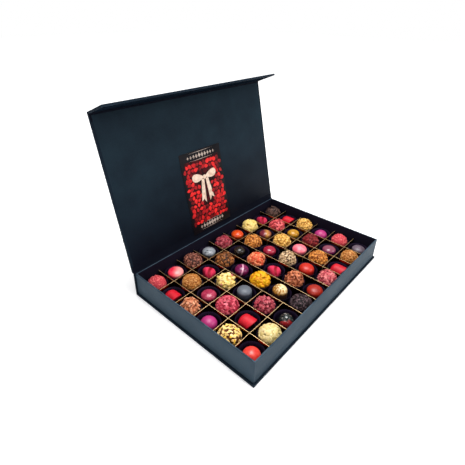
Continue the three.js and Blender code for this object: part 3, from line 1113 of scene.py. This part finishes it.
# %% Marbled, dripped and grooved shells
def marbled_skin(name):
    finish, colour = skin(name, "#0c1210", "#202a28", 0.14, 0.05)
    front = across_sweet(finish, (-0.75, -0.67, -0.5))
    red_where = finish.math("MULTIPLY_ADD", finish.noise(8, 3, spread=1.4), 0.55, front)
    with_red = finish.mix(finish.ramp(red_where, (0.95, 0.0), (1.0, 1.0)), colour, "#a8282c")
    rim = finish.ramp(finish.noise(9, 2, spread=1.8), (0.64, 0.0), (0.67, 0.9))
    with_rim = finish.mix(rim, with_red, "#94302a")
    pale = finish.ramp(finish.noise(4.0, 3, spread=1.5), (0.56, 0.0), (0.66, 0.6))
    finish.colour(finish.mix(pale, with_rim, "#a8a09c"))
    finish.coat(0.35, 0.14)
    return finish.material


def dripped_skin(name):
    finish, colour = skin(name, "#8a5a1c", "#b07828", 0.42)
    rise = height_share(finish)
    runs = finish.noise(2.3, 1, stretch=(1, 1, 0.1))
    edge = finish.math("MULTIPLY_ADD", runs, 0.8, finish.math("MULTIPLY", rise, 0.42))
    side = finish.math("MULTIPLY", across_sweet(finish), 0.28)
    cream = finish.ramp(finish.math("ADD", edge, side), (0.88, 0.0), (0.95, 1.0))
    gold = finish.mix(cream, colour, "#e6cc98")
    foot = finish.ramp(finish.math("MULTIPLY_ADD", runs, -0.3, rise), (0.53, 1.0), (0.60, 0.0))
    finish.colour(finish.mix(foot, gold, "#38221a"))
    return finish.material


def grooved_skin(name):
    finish, colour = skin(name, "#b82240", "#cc3252", 0.5, 0.02, "#d8c8c8")
    finish.set("Specular IOR Level", 0.12)
    finish.coat(0.0, 0.4)
    # Painted shade: the groove is darker by its band number.
    groove = finish.ramp(finish.attribute("band"), (0.2, 0.0), (0.8, 1.0))
    finish.colour(finish.mix(groove, colour, "#7e0018"))
    return finish.material


# %% [markdown]
# Each recipe is now one line: the way it is sprayed, its dark and its light tone, and what
# that way needs besides, such as the colour of a capped or lit top, the gloss or the pearl.

# %% One finish for each shell
SPRAYED = {
    "blood_orange_dome": (plain_skin, "#d42c26", "#e84a3c", 0.36),
    "brick_dome": (plain_skin, "#8a1202", "#9f1d05", 0.42, 0.15),
    # The magenta's lighter top is painted light.
    "magenta_dome": (capped_or_toplit_skin, "#701348", "#821e55", "#a62b6b", 0.50, 0.46),
    "grey_violet_dome": (plain_skin, "#52454f", "#675864", 0.36, 0.15),
    "marbled_dome": (marbled_skin,),
    "bronze_violet_dome": (capped_or_toplit_skin, "#5d1446", "#701e54", "#7c3e50", 0.80, 0.24),
    "gold_drip_dome": (dripped_skin,),
    # The slate's lighter top is painted light.
    "slate_dome": (capped_or_toplit_skin, "#363d49", "#414957", "#535962", 0.78, 0.5),
    "pink_dome": (plain_skin, "#d74a63", "#e98289", 0.36, 0.15),
    "rose_pearl_dome": (plain_skin, "#881b38", "#a0304c", 0.27, 0.15),
    "striped_purple_dome": (striped_skin, "#5c0d3b", "#71184c", "#c78ea2"),
    "crimson_dome": (plain_skin, "#840e2a", "#9c1c35", 0.26, 0.12),
    "gold_dome": (plain_skin, "#915d03", "#ba850b", 0.3, 0.25),
    "black_dome": (speckled_skin, "#090805", "#19130e", "#615140", 1.6, 0.60, 0.26),
    "plum_gold_dome": (
        faded_skin, "#5d1b2c", "#772932", "#b37935", 0.27, (0.50, 0.0), (0.74, 1.0), (0.98, 0.3),
    ),
    "blush_dome": (faded_skin, "#da1f3c", "#e83850", "#f2918c", 0.34, (0.45, 0.0), (0.85, 1.0)),
    "silver_dome": (speckled_skin, "#757a82", "#90949a", "#25272d", 2.8, 0.57, 0.34),
    "orange_dome": (plain_skin, "#c03105", "#d24b0f", 0.28, 0.12),
    # The chili's lighter top is painted light, and its foot gets a weaker painted shade.
    "chili_cone": (capped_or_toplit_skin, "#a01004", "#af1606", "#af1d0b", 0.74, 0.42, "#cc998b"),
    "cherry_log": (plain_skin, "#ad0017", "#c40120", 0.6, 0.0),
    "raspberry_leaf": (grooved_skin,),
}
SHELL_FINISHES = {name: spray(name, *look) for name, (spray, *look) in SPRAYED.items()}
print("shell finishes", len(SHELL_FINISHES))

# %% [markdown]
# ## Rolled truffles
#
# The larger sweets are balls of ganache rolled in something: curls shaved from a block of
# coloured chocolate, biscuit crumble, chopped nuts, or rods of dark shavings. What makes them
# look real is depth: loose pieces with dark gaps between. A bump map can't cast a shadow in
# a gap, so every curl and crumb here is a small closed mesh on a rough core.

# %% Placing the coating
LOOSE = 1.05
CORE_LEVELS = 5


def spread_directions(count, lowest, random):
    """Directions spread evenly over a ball, by a golden spiral, down to a lowest height."""
    step = np.arange(count) + 0.5
    up = 1 - step / count * (1 - lowest)
    angle = step * math.pi * (3 - math.sqrt(5)) + random.uniform(0, ANY_TURN)
    flat_out = np.sqrt(1 - up**2)
    out = np.stack([flat_out * np.cos(angle), flat_out * np.sin(angle), up], 1)
    out += random.normal(0, LOOSE / math.sqrt(count), out.shape)
    return out / np.linalg.norm(out, axis=1)[:, None]


def seats(out, tilt, random):
    """For each direction, three axes: along the piece, across it, and away from the ball."""
    count = len(out)
    aside = np.cross(out, random.normal(size=(count, 3)))
    aside /= np.linalg.norm(aside, axis=1)[:, None]
    across = np.cross(out, aside)
    lean = random.uniform(-tilt, tilt, count)[:, None]
    along = aside * np.cos(lean) + out * np.sin(lean)
    away = out * np.cos(lean) - aside * np.sin(lean)
    return np.stack([along, across, away], 1)


def icosphere(levels):
    body = bmesh.new()
    bmesh.ops.create_icosphere(body, subdivisions=levels, radius=1)
    body.verts.index_update()
    points = np.array([corner.co for corner in body.verts])
    faces = np.array([[corner.index for corner in face.verts] for face in body.faces])
    body.free()
    return points, faces


LUMPS = {levels: icosphere(levels) for levels in (1, 2, CORE_LEVELS)}
print("lump faces", {levels: len(lump[1]) for levels, lump in LUMPS.items()})


# %% [markdown]
# A curl is a short ribbon bent along its length and narrowed at its ends. A lump is a ball of
# few faces with its points pushed in and out, and squared off where it stands for a nut chip.
# Both come as one array for all the pieces of a truffle, since that is fast.

# %% Curls and lumps
CURL_RINGS = 5
CURL_TAPER = 1.44


def curls(count, size, random):
    """Ribbons: points (count, corners, 3) and the faces of one. A third of them bend outward."""
    length, wide, thick = size
    along = np.linspace(-0.5, 0.5, CURL_RINGS)
    lengths = length * random.uniform(0.6, 1.25, count)[:, None]
    widths = wide * random.uniform(0.65, 1.25, count)[:, None] * (1 - CURL_TAPER * along**2)
    radius = length * random.uniform(0.32, 1.0, count)[:, None]
    angle = along * lengths / radius
    middle = np.stack([radius * np.sin(angle), 0 * angle, radius * (np.cos(angle) - 1)], 2)
    middle[:, :, 2] *= random.choice([1.0, 1.0, -0.7], count)[:, None]
    twist = random.uniform(-0.7, 0.7, count)[:, None] * along * 2
    corners = []
    for side, face in ((-1, -1), (1, -1), (1, 1), (-1, 1)):
        offset = np.stack([
            0 * twist,
            side * widths / 2 * np.cos(twist) - face * thick / 2 * np.sin(twist),
            side * widths / 2 * np.sin(twist) + face * thick / 2 * np.cos(twist),
        ], 2)
        corners.append(middle + offset)
    points = np.stack(corners, 2).reshape(count, CURL_RINGS * 4, 3)
    last = (CURL_RINGS - 1) * 4
    faces = stacked(CURL_RINGS, 4) + [(3, 2, 1, 0), (last, last + 1, last + 2, last + 3)]
    return points, np.array(faces)


def lumps(count, size, random, levels, square, rough):
    """Crumbs or chips: points (count, corners, 3) and the faces of one."""
    points, faces = LUMPS[levels]
    many = np.repeat(points[None], count, 0)
    many = many * (1 + random.uniform(-rough, rough, many.shape[:2]))[..., None]
    many = np.sign(many) * np.abs(many) ** square
    scale = np.array(size) / 2 * random.uniform(0.6, 1.3, (count, 3))
    return many * scale[:, None, :], faces


# %% [markdown]
# ## One truffle
# The core is a lumpy ball a little smaller than the truffle. The coating is laid on it with
# some pieces sunk and some standing proud. Every point carries two numbers for its finish:
# a tint of its own piece, and how deep it lies, which the finish uses to paint shade into the gaps.

# %% One truffle
LOWEST = -0.62
WAVES = 8
# Shares of the truffle's radius: its core, and how deep a piece may sink or stand.
CORE = 0.92
SCATTER = 0.035
# Points past this share are pressed back to it, but for this part of what they stand out.
FARTHEST, PRESSED = 1.02, 0.3
# For a coating with a patch: how far a crumb may face away from it, and how deep it then sinks.
PATCH_EDGE, PATCH_SUNK = 0.35, 0.16
# The bottom of a gap, as a share of the local radius, and the span from there to full colour,
# over which the painted gap shade fades.
GAP, GAP_SPAN = 0.84, 0.17
# How each kind of lump is shaped: (levels, square, rough).
KINDS = {
    "crumb": (1, 1.0, 0.24), "chip": (1, 0.62, 0.16), "rod": (1, 0.8, 0.12), "lump": (2, 1.0, 0.10),
}


def hills(random):
    """A smooth uneven height over a ball, from a few waves in random directions."""
    turns = random.normal(0, 3.0, (WAVES, 3))
    starts = random.uniform(0, 2 * math.pi, WAVES)
    return lambda out: np.sin(out @ turns.T + starts).sum(1) - 1.5


def truffle_body(across, height, coating, random):
    """Points, faces, finish numbers, tints and depths of one coated ball standing on z 0."""
    radius = across / 2
    squash = np.array([1, 1, height / across])
    ball, ball_faces = LUMPS[CORE_LEVELS]
    swell = hills(random)

    def reach(out):
        return radius * (1 + coating["uneven"] * swell(out))

    core = ball * (reach(ball) * (CORE - coating["sink"]))[:, None]
    parts = [core]
    faces = [ball_faces]
    finish_of = [np.zeros(len(ball_faces), int)]
    tints = [np.full(len(core), 0.3)]
    offset = len(core)
    for kind, count, size, lift, tilt, finish in coating["layers"]:
        out = spread_directions(count, LOWEST, random)
        if kind == "curl":
            some, one = curls(count, size, random)
        else:
            some, one = lumps(count, size, random, *KINDS[kind])
        axes = seats(out, tilt, random)
        away = reach(out) * (lift + random.uniform(-SCATTER, SCATTER, count))
        if "patch" in coating and kind == "crumb":
            away -= np.where(out @ coating["patch"] < PATCH_EDGE, PATCH_SUNK, 0) * radius
        placed = np.einsum("cvk,ckj->cvj", some, axes) + (out * away[:, None])[:, None, :]
        far = np.linalg.norm(placed, axis=2)
        limit = radius * coating.get("limit", FARTHEST)
        pressed = limit / far + PRESSED * (1 - limit / far)
        placed *= np.where(far > limit, pressed, 1)[..., None]
        corners = some.shape[1]
        index = (np.arange(count) * corners + offset)[:, None, None] + one[None]
        faces.append(index.reshape(-1, one.shape[1]))
        finish_of.append(np.full(count * len(one), finish))
        tints.append(np.repeat(random.uniform(0, 1, count), corners))
        parts.append(placed.reshape(-1, 3))
        offset += count * corners
    points = np.concatenate(parts)
    far = np.linalg.norm(points, axis=1)
    deep = np.clip((far / reach(points / far[:, None]) - GAP) / GAP_SPAN, 0, 1)
    points = points * squash
    points[:, 2] += height / 2
    points[:, 2] = np.maximum(points[:, 2], 0.0)
    return points, faces, np.concatenate(finish_of), np.concatenate(tints), deep


# %% [markdown]
# ## Finishes of the coatings
#
# Each coating takes its colour from the piece's own tint, so that no two curls are alike, from
# a fine noise within it and a broad one that makes patches, and from the depth, which paints shade
# into the gaps. Painted shade also darkens the lower part of each truffle. The same function
# makes chocolate curls, biscuit and cocoa, with other colours.

# %% Finishes of the coatings
def coating_finish(name, shadow, dark, light, bright, roughness=0.45):
    finish = Finish(name, roughness=roughness, specular=0.25)
    tint = finish.attribute("tint")
    deep = finish.attribute("deep")
    grain = finish.noise(0.9, 3)
    patches = finish.math("MULTIPLY_ADD", finish.noise(3.4, 2), 0.9, -0.25)
    own_tone = finish.math("MULTIPLY_ADD", grain, 0.4, finish.math("MULTIPLY", tint, 0.5))
    tone = finish.math("ADD", patches, own_tone)
    own = finish.ramp(tone, (0.2, dark), (0.55, light), (0.85, bright))
    # Painted shade: the deeper a point lies, the closer it comes to the shadow tone.
    share = finish.ramp(deep, (0.0, 0.15), (0.65, 1.0))
    gaps = finish.mix(share, shadow, own)
    # Painted shade: the lower part of the truffle is multiplied darker.
    foot = finish.ramp(height_share(finish), (0.12, "#a6866c"), (0.56, "#ffffff"))
    finish.colour(finish.mix(1.0, gaps, foot, "MULTIPLY"))
    finish.relief(grain, 0.12, 0.5)
    finish.coat(0.08, 0.3)
    return finish.material


def core_finish(name, dark, light):
    finish = Finish(name, roughness=0.7, specular=0.3)
    grain = finish.noise(1.1, 4)
    finish.colour(finish.ramp(grain, (0.35, dark), (0.65, light)))
    finish.relief(grain, 0.5, 0.9)
    return finish.material


# %% [markdown]
# A coating is laid in one to four layers, and each layer is a tuple: the kind of piece, how
# many, their size in mm, how far out they sit as a share of the radius, how much they tilt,
# and which finish they take, 1 for the coating's own and 2 for its crumbs of another colour.
# Some need a word more: limit lets spikes stand out, patch keeps the crumbs to one side, and
# dark_gaps paints the core as dark as the deepest gap.

# %% How each coating is laid
def laid(sink, uneven, *layers, **more):
    """sink makes the core smaller, and uneven gives the whole ball its hills."""
    return {"sink": sink, "uneven": uneven, "layers": layers, **more}


CURLED = laid(
    0.0, 0.024,
    ("curl", 90, (9.0, 3.3, 0.8), 0.92, 0.35, 1),
    ("curl", 110, (8.0, 2.7, 0.8), 0.965, 0.5, 1),
)
CLUMPED = laid(
    0.05, 0.032,
    ("crumb", 70, (6.0, 4.2, 3.0), 0.90, 0.6, 1),
    ("curl", 130, (5.8, 2.7, 0.7), 0.96, 0.8, 1),
)
SWIRLED = laid(
    0.02, 0.042,
    ("curl", 60, (11.0, 3.4, 1.0), 0.92, 0.2, 1),
    ("curl", 60, (13.0, 2.4, 1.5), 0.975, 0.2, 1),
)
FINELY_CURLED = laid(
    0.02, 0.018,
    ("curl", 170, (5.2, 1.9, 0.45), 0.91, 0.5, 1),
    ("curl", 280, (4.8, 1.6, 0.42), 0.96, 0.7, 1),
)
SPIKED = laid(
    0.04, 0.05,
    ("lump", 46, (8.6, 7.0, 5.0), 0.87, 0.5, 1),
    ("chip", 40, (7.6, 3.2, 2.8), 0.95, 1.2, 1),
    ("crumb", 60, (3.4, 2.6, 2.4), 0.965, 0.8, 1),
    ("chip", 10, (5.4, 2.6, 1.6), 1.0, 0.3, 2),
    limit=1.1,
)
LUMPY = laid(
    0.0, 0.040,
    ("lump", 70, (8.6, 7.0, 4.6), 0.90, 0.4, 1),
    ("lump", 80, (5.6, 4.6, 3.4), 0.955, 0.6, 1),
)
CRUMBED_FINE = laid(
    -0.03, 0.020,
    ("lump", 170, (6.6, 5.6, 2.0), 0.955, 0.15, 1),
    ("crumb", 200, (3.2, 2.4, 2.0), 0.985, 0.8, 2),
    patch=(0.0, -0.95, 0.1),
)
SUGARED = laid(
    -0.02, 0.014,
    ("crumb", 360, (3.2, 2.8, 1.6), 0.955, 0.3, 1),
)
CRUMBLED = laid(
    0.01, 0.022,
    ("crumb", 170, (4.2, 3.4, 2.6), 0.935, 0.5, 1),
    ("crumb", 90, (2.8, 2.4, 2.0), 0.985, 0.6, 1),
)
NUTTY = laid(
    0.01, 0.020,
    ("crumb", 150, (4.2, 3.5, 2.5), 0.925, 0.5, 1),
    ("lump", 30, (5.0, 3.8, 2.8), 0.94, 0.4, 1),
    ("crumb", 120, (2.2, 1.8, 1.5), 0.975, 0.6, 1),
)
CHIPPED = laid(
    0.03, 0.016,
    ("chip", 105, (6.2, 3.0, 1.5), 0.94, 0.35, 1),
    ("chip", 34, (4.8, 3.0, 1.7), 0.955, 0.4, 2),
    dark_gaps=True,
)
FLAKED = laid(
    0.04, 0.020,
    ("chip", 190, (5.0, 2.1, 1.3), 0.94, 0.5, 1),
    ("chip", 40, (3.4, 2.0, 1.3), 0.95, 0.5, 2),
    dark_gaps=True,
)
RODDED = laid(
    0.03, 0.022,
    ("rod", 130, (4.8, 1.9, 1.5), 0.92, 0.4, 1),
    ("rod", 160, (4.2, 1.7, 1.4), 0.965, 0.6, 1),
)
SHAGGY = laid(
    0.03, 0.036,
    ("chip", 100, (6.6, 3.0, 1.6), 0.92, 0.5, 1),
    ("chip", 90, (5.6, 2.6, 1.5), 0.965, 0.8, 1),
)
DUSTED = laid(
    -0.055, 0.010,
    ("curl", 240, (6.5, 1.1, 0.35), 0.965, 0.10, 1),
)

# %% Colours of the coatings
# Each coating: how it is laid, then its tones in shadow, dark, light and bright. The shadow
# tone is the painted shade at the bottom of the gaps, and it also colours the core.
COATINGS = {
    "cream_truffle": (CRUMBED_FINE, "#937c3c", "#c8af67", "#d4bd7f", "#dbc792"),
    "dark_shavings": (RODDED, "#060405", "#150c0f", "#2f2126", "#634e53"),
    "pink_curls": (CURLED, "#570d1a", "#902534", "#b74650", "#e18180"),
    "toffee_crumble": (SUGARED, "#7e4212", "#9b591e", "#ad6d2d", "#c68d4e"),
    "almond_nib": (CHIPPED, "#5c2f0e", "#e4b566", "#f2ca7c", "#fcdb99"),
    "ruby_curls": (CLUMPED, "#3d0712", "#84192c", "#a23443", "#bc5b63"),
    "copper_curls": (SWIRLED, "#6e2e1c", "#642816", "#964b2d", "#da875e"),
    "caramel_nut": (NUTTY, "#642e06", "#8e4a12", "#b96d22", "#e39b4c"),
    "coral_dusted": (DUSTED, "#a42834", "#bf3c46", "#d25054", "#e5716e"),
    "crimson_curls": (CURLED, "#5c0313", "#850d25", "#ae2840", "#db6271"),
    "mango_crumble": (LUMPY, "#a55300", "#c27400", "#d08c00", "#d7a302"),
    "hazelnut_nib": (FLAKED, "#523625", "#8a6c4b", "#b89a70", "#eacca5"),
    "dark_cherry_curls": (FINELY_CURLED, "#300305", "#5b0813", "#771821", "#993030"),
    "salmon_curls": (SWIRLED, "#52210f", "#864327", "#b66a46", "#f0ac84"),
    "lemon_bits": (SPIKED, "#af8d29", "#dab754", "#e8c974", "#f1d695"),
    "peach_crumble": (LUMPY, "#921f09", "#ac290e", "#cb502e", "#de8f63"),
    "golden_crumble": (CRUMBLED, "#7f5213", "#af7b2a", "#d19f46", "#f4c56f"),
    "cocoa_flake": (SHAGGY, "#1e0d05", "#41230f", "#75421e", "#b5713a"),
    "rose_curls": (CURLED, "#5f0a16", "#8d1a26", "#b93741", "#e36766"),
    "milk_crumble": (CRUMBLED, "#200e09", "#431f17", "#6b392c", "#b3725e"),
    "lemon_crumble": (LUMPY, "#a7882b", "#d0b257", "#dec26d", "#e9cd84"),
    "brown_shavings": (SHAGGY, "#0a0503", "#1c0f0c", "#39251f", "#6b4e45"),
}

extra_finishes = {
    "cream_truffle": coating_finish("cream_gap_crumbs", "#4c4018", "#8c7c3c", "#c8b870", "#f0e4b0"),
    "lemon_bits": coating_finish("lemon_berry_bits", "#8c2030", "#a83048", "#c04c58", "#d87c7c"),
    "almond_nib": coating_finish("almond_gold_bits", "#a86a10", "#e8a81c", "#f6c03c", "#fcd870"),
    "hazelnut_nib": coating_finish("hazel_brown_bits", "#5c3c2c", "#845c44", "#a07858", "#c09c78"),
}
coating_finishes = {}
for name, (coating, *tones) in COATINGS.items():
    core_light = tones[0] if coating.get("dark_gaps") else tones[1]
    coating_finishes[name] = [
        core_finish(name + "_core", tones[0], core_light),
        coating_finish(name, *tones, roughness=0.42 if "curls" in name else 0.6),
        extra_finishes.get(name),
    ]
print("coatings", len(COATINGS))

# %% [markdown]
# ## The sweets in their cells
#
# The frame names every sweet by its column, row and recipe, and gives where it stands and how
# tall it is. So the lesson only has to say how wide each recipe is and walk over the frame's
# names. Each sweet and its cup are two pieces that stand for one solid of the frame.

# %% The sweets in their cells
# Each shell's form and width, and each truffle's width, in mm.
SHELLS = {
    "blood_orange_dome": ("dome", 23.0), "brick_dome": ("button", 23.2),
    "magenta_dome": ("dome", 22.5), "grey_violet_dome": ("button", 21.4),
    "marbled_dome": ("dome", 19.8), "bronze_violet_dome": ("button", 22.4),
    "gold_drip_dome": ("tall", 22.0), "slate_dome": ("drum", 21.4), "pink_dome": ("button", 24.0),
    "rose_pearl_dome": ("button", 22.4), "striped_purple_dome": ("button", 21.4),
    "crimson_dome": ("button", 21.6), "gold_dome": ("button", 21.0),
    "black_dome": ("button", 19.2), "plum_gold_dome": ("button", 21.8),
    "blush_dome": ("button", 24.0), "silver_dome": ("button", 22.2),
    "orange_dome": ("button", 21.8), "chili_cone": ("block", 23.8), "cherry_log": ("log", 24.0),
    "raspberry_leaf": ("leaf", 22.0),
}
BALLS = {
    "almond_nib": 32, "cream_truffle": 30, "dark_shavings": 31, "pink_curls": 30,
    "toffee_crumble": 28.6, "ruby_curls": 29.6, "copper_curls": 29, "caramel_nut": 31,
    "coral_dusted": 28, "crimson_curls": 32, "mango_crumble": 31, "hazelnut_nib": 29.4,
    "dark_cherry_curls": 28.8, "salmon_curls": 28, "lemon_bits": 29, "peach_crumble": 30,
    "golden_crumble": 31.6, "cocoa_flake": 31, "rose_curls": 30.6, "milk_crumble": 31,
    "lemon_crumble": 31, "brown_shavings": 28.6,
}
CUP_SEAT = 0.2


def shell_piece(name, recipe, centre, height):
    form, across = SHELLS[recipe]
    bands = None
    if form == "log":
        points, faces = log_shell(across, height)
    elif form == "leaf":
        points, faces, bands = leaf_shell(across, height)
    else:
        points, faces = turned(shell_profile(form, across, height), 72)
    piece = make_piece(name, points + centre, faces, [SHELL_FINISHES[recipe]], crisp=48)
    if bands is not None:
        point_values(piece, "band", bands)
    return piece


def truffle_piece(name, recipe, centre, height, random):
    across = BALLS[recipe]
    coating = COATINGS[recipe][0]
    points, faces, finish_of, tints, deep = truffle_body(across, height, coating, random)
    finishes = [finish for finish in coating_finishes[recipe] if finish]
    every_face = [face for group in faces for face in group.tolist()]
    piece = make_piece(name, points + centre, every_face, finishes, finish_of, crisp=42)
    point_values(piece, "tint", tints)
    point_values(piece, "deep", deep)
    return piece


faces_made = 0
sweets = [n for n in frame["nodes"] if n[0] == "c" and n[1:2].isdigit()]
for node in sorted(sweets):
    column, row, recipe = node.split("_", 2)
    low, high = box_mm(node)
    middle = (low + high) / 2
    random = np.random.default_rng(100 * int(row[1:]) + int(column[1:]))
    floor_place = np.array([middle[0], middle[1], low[2]])
    points, faces = cup_points(floor_place, random)
    cup = make_piece(f"cup_{column}_{row}", points, faces, [CUP_FINISH], crisp=180)
    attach(cup, "base")
    seat = floor_place + (0, 0, CUP_SEAT)
    height = high[2] - seat[2]
    name = f"{recipe}_{column}_{row}"
    if recipe in SHELLS:
        sweet = shell_piece(name, recipe, seat, height)
    else:
        sweet = truffle_piece(name, recipe, seat, height, random)
    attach(sweet, "base")
    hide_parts(node)
    faces_made += len(sweet.data.polygons) + len(cup.data.polygons)
print("sweets", len(sweets), "faces with their cups", faces_made)

# %% [markdown]
# ## Greeting card
#
# A card lies on the inside of the lid: dark stock with a field of red petals, a cream bow in
# the middle and small marks above and below. Printing is flat, but inks laid one over the
# other have crisp outlines, so each motif is a shape about a tenth of a millimetre high.

# %% Greeting card
card_stock = Finish("greeting_card", roughness=0.45, specular=0.12)
stock_grain = card_stock.noise(12, 4)
card_stock.colour(card_stock.ramp(stock_grain, (0.35, "#08080d"), (0.65, "#100d13")))
card_stock.relief(card_stock.noise(0.8, 3), 0.03, 0.3)
# The card on the lid: its middle, half its width, its two ends from the hinge, its face and back.
CARD_X = -1.5
CARD_HALF = 44.0
CARD_NEAR, CARD_FAR = 7.0, 142.0
CARD_FACE, CARD_BACK = -0.9, -0.3
card_board = board(
    (CARD_X - CARD_HALF, -CARD_FAR, CARD_FACE), (CARD_X + CARD_HALF, -CARD_NEAR, CARD_BACK), 0.12,
)
card_finishes = [card_stock.material] * 2
board_piece("card_stock", [card_board], LID, card_finishes, "lid", ["card"])


def raised(outline, thick=0.07, inset=0.86):
    """A flat printed shape on the card: its outline, a slope and a top."""
    outline = np.array(outline, float)
    centre = outline.mean(0)
    top = centre + (outline - centre) * inset
    count = len(outline)
    low = np.c_[outline, np.full(count, CARD_FACE + 0.02)]
    high = np.c_[top, np.full(count, CARD_FACE - thick)]
    faces = bridged(0, count, count) + [tuple(range(count))[::-1], tuple(range(count, 2 * count))]
    return np.concatenate([low, high]), faces


def petal(x, y, size, turn):
    """A petal, pointed at one end and full at the other."""
    points = []
    for angle in np.linspace(0, 2 * math.pi, 20, endpoint=False):
        out = size * math.cos(angle)
        up = size * 0.92 * math.sin(angle) * math.sin(angle / 2) ** 0.8
        points.append((
            x + out * math.cos(turn) - up * math.sin(turn),
            y + out * math.sin(turn) + up * math.cos(turn),
        ))
    return points


def motif_piece(name, shapes, finish, tints=None):
    points, faces = merged(shapes)
    piece = make_piece(name, carried(points, LID), faces, [finish], crisp=30)
    if tints is not None:
        point_values(piece, "tint", tints)
    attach(piece, "lid")


# %% [markdown]
# The petals lie in rows and overlap, each turned, sized and raised a little differently, and
# they leave a clearing for the bow. A dark red field under them fills the gaps.

# %% Petals
PETAL_STEP = 8.0
PETAL_SIZE = 0.56
PETAL_LINES, LINE_PETALS = 14, 12
PETAL_EDGE = CARD_HALF - 5.0
FIELD_HALF = CARD_HALF - 6.0
FIELD_FROM, FIELD_TO = -24.0, -128.0
BOW = (CARD_X, -96.0)
BOW_SIZE = 1.35
# What stays clear of petals: an ellipse round the loops, and a strip beside the tails.
LOOPS_WIDE, LOOPS_TALL = 27, 13
TAILS_WIDE, TAILS_TALL = 13, 44
petal_random = np.random.default_rng(5)
petals, petal_tints = [], []
for line in range(PETAL_LINES):
    for place in range(LINE_PETALS):
        x = CARD_X + (place - 5 + 0.5 * (line % 2)) * PETAL_STEP * 0.94
        y = FIELD_FROM - line * PETAL_STEP * 0.92
        x += petal_random.uniform(-0.7, 0.7)
        y += petal_random.uniform(-0.6, 0.6)
        size = PETAL_STEP * PETAL_SIZE * petal_random.uniform(0.82, 1.15)
        turn = petal_random.uniform(0, 2 * math.pi)
        tint = petal_random.uniform(0, 1)
        loops = math.hypot((x - BOW[0]) / LOOPS_WIDE, (y - BOW[1]) / LOOPS_TALL) < 1
        tails = abs(x - BOW[0]) < TAILS_WIDE and BOW[1] < y < BOW[1] + TAILS_TALL
        if abs(x - CARD_X) > PETAL_EDGE or loops or tails:
            continue
        shape = raised(petal(x, y, size, turn), 0.05 + 0.02 * ((place + 2 * line) % 5))
        petals.append(shape)
        petal_tints += [tint] * len(shape[0])
petal_ink = Finish("petal_ink", roughness=0.42, specular=0.15)
own_ink = petal_ink.math("MULTIPLY", petal_ink.attribute("tint"), 0.6)
ink_grain = petal_ink.math("MULTIPLY_ADD", petal_ink.noise(3, 3), 0.5, own_ink)
petal_ink.colour(petal_ink.ramp(ink_grain, (0.2, "#3c060a"), (0.45, "#a8121a"), (0.8, "#ee2826")))
motif_piece("card_petals", petals, petal_ink.material, petal_tints)

field_ink = Finish("petal_shadow_ink", roughness=0.5, specular=0.1)
field_ink.colour(field_ink.ramp(field_ink.noise(7, 4), (0.35, "#100508"), (0.65, "#4c0a12")))
field_sides = [(-1, FIELD_FROM), (-1, FIELD_TO), (1, FIELD_TO), (1, FIELD_FROM)]
field = [(CARD_X + side * FIELD_HALF, y) for side, y in field_sides]
motif_piece("card_field", [raised(field, 0.03, 0.97)], field_ink.material)
print("petals", len(petals))

# %% [markdown]
# The bow is two loops, a knot and two long tails with notched ends. The knot is the highest
# and covers the places where the others meet, as ink printed last does.

# %% Bow
bow_ink = Finish("bow_ink", roughness=0.45, specular=0.15)
bow_ink.colour(bow_ink.ramp(bow_ink.noise(5, 3), (0.35, "#d8b8a0"), (0.65, "#f2dcc8")))


def bow_loop(side):
    points = []
    for angle in np.linspace(0, 2 * math.pi, 26, endpoint=False):
        out = BOW_SIZE * (9.5 * (1 - math.cos(angle)) + 1.0)
        up = BOW_SIZE * 7.2 * math.sin(angle) * (0.35 + 0.65 * (1 - math.cos(angle)) / 2)
        points.append((BOW[0] + side * out, BOW[1] + up - 0.12 * out))
    return points


def bow_tail(side):
    corners = [(1.0, 1.5), (5.4, 1.2), (10.8, 30.0), (6.6, 27.0), (3.2, 32.5)]
    return [(BOW[0] + BOW_SIZE * side * x, BOW[1] + BOW_SIZE * y) for x, y in corners]


knot_turns = np.linspace(0, 2 * math.pi, 16, endpoint=False)
knot = [(BOW[0] + 4.2 * math.cos(a), BOW[1] + 3.7 * math.sin(a)) for a in knot_turns]
bow_shapes = [raised(bow_tail(side), 0.07, 0.92) for side in (-1, 1)]
bow_shapes += [raised(bow_loop(side), 0.09, 0.9) for side in (-1, 1)]
bow_shapes.append(raised(knot, 0.13, 0.8))
motif_piece("card_bow", bow_shapes, bow_ink.material)

# %% [markdown]
# Above and below the petals is a row of small diamonds between two fine rules, in a paler
# ink. The diamonds shrink toward the ends of the row, which gives it a rounded look.

# %% Marks and rules
mark_ink = Finish("mark_ink", roughness=0.45, specular=0.15)
mark_ink.colour(mark_ink.ramp(mark_ink.noise(4, 3), (0.35, "#8c7c74"), (0.65, "#c4b4a8")))


def diamond(x, y, wide, tall):
    return [(x - wide, y), (x, y - tall), (x + wide, y), (x, y + tall)]


MARK_STEP = 6.2
# Each row of marks: where it lies, how many, and how wide they are. Then the fine rules.
MARK_ROWS = [(-133, 10, 2.5), (-15.5, 9, 2.9)]
RULES = (-139.4, -126.8, -10.2, -20.6)
RULE_HALF = 27
marks = []
for y, count, wide in MARK_ROWS:
    for place in range(count):
        off = place - (count - 1) / 2
        size = wide * (1.25 - 0.11 * abs(off))
        marks.append(raised(diamond(CARD_X + off * MARK_STEP, y, size, size * 1.4)))
for y in RULES:
    marks.append(raised(diamond(CARD_X, y, RULE_HALF, 0.45), 0.05, 0.97))
motif_piece("card_marks", marks, mark_ink.material)
print("marks and rules", len(marks))
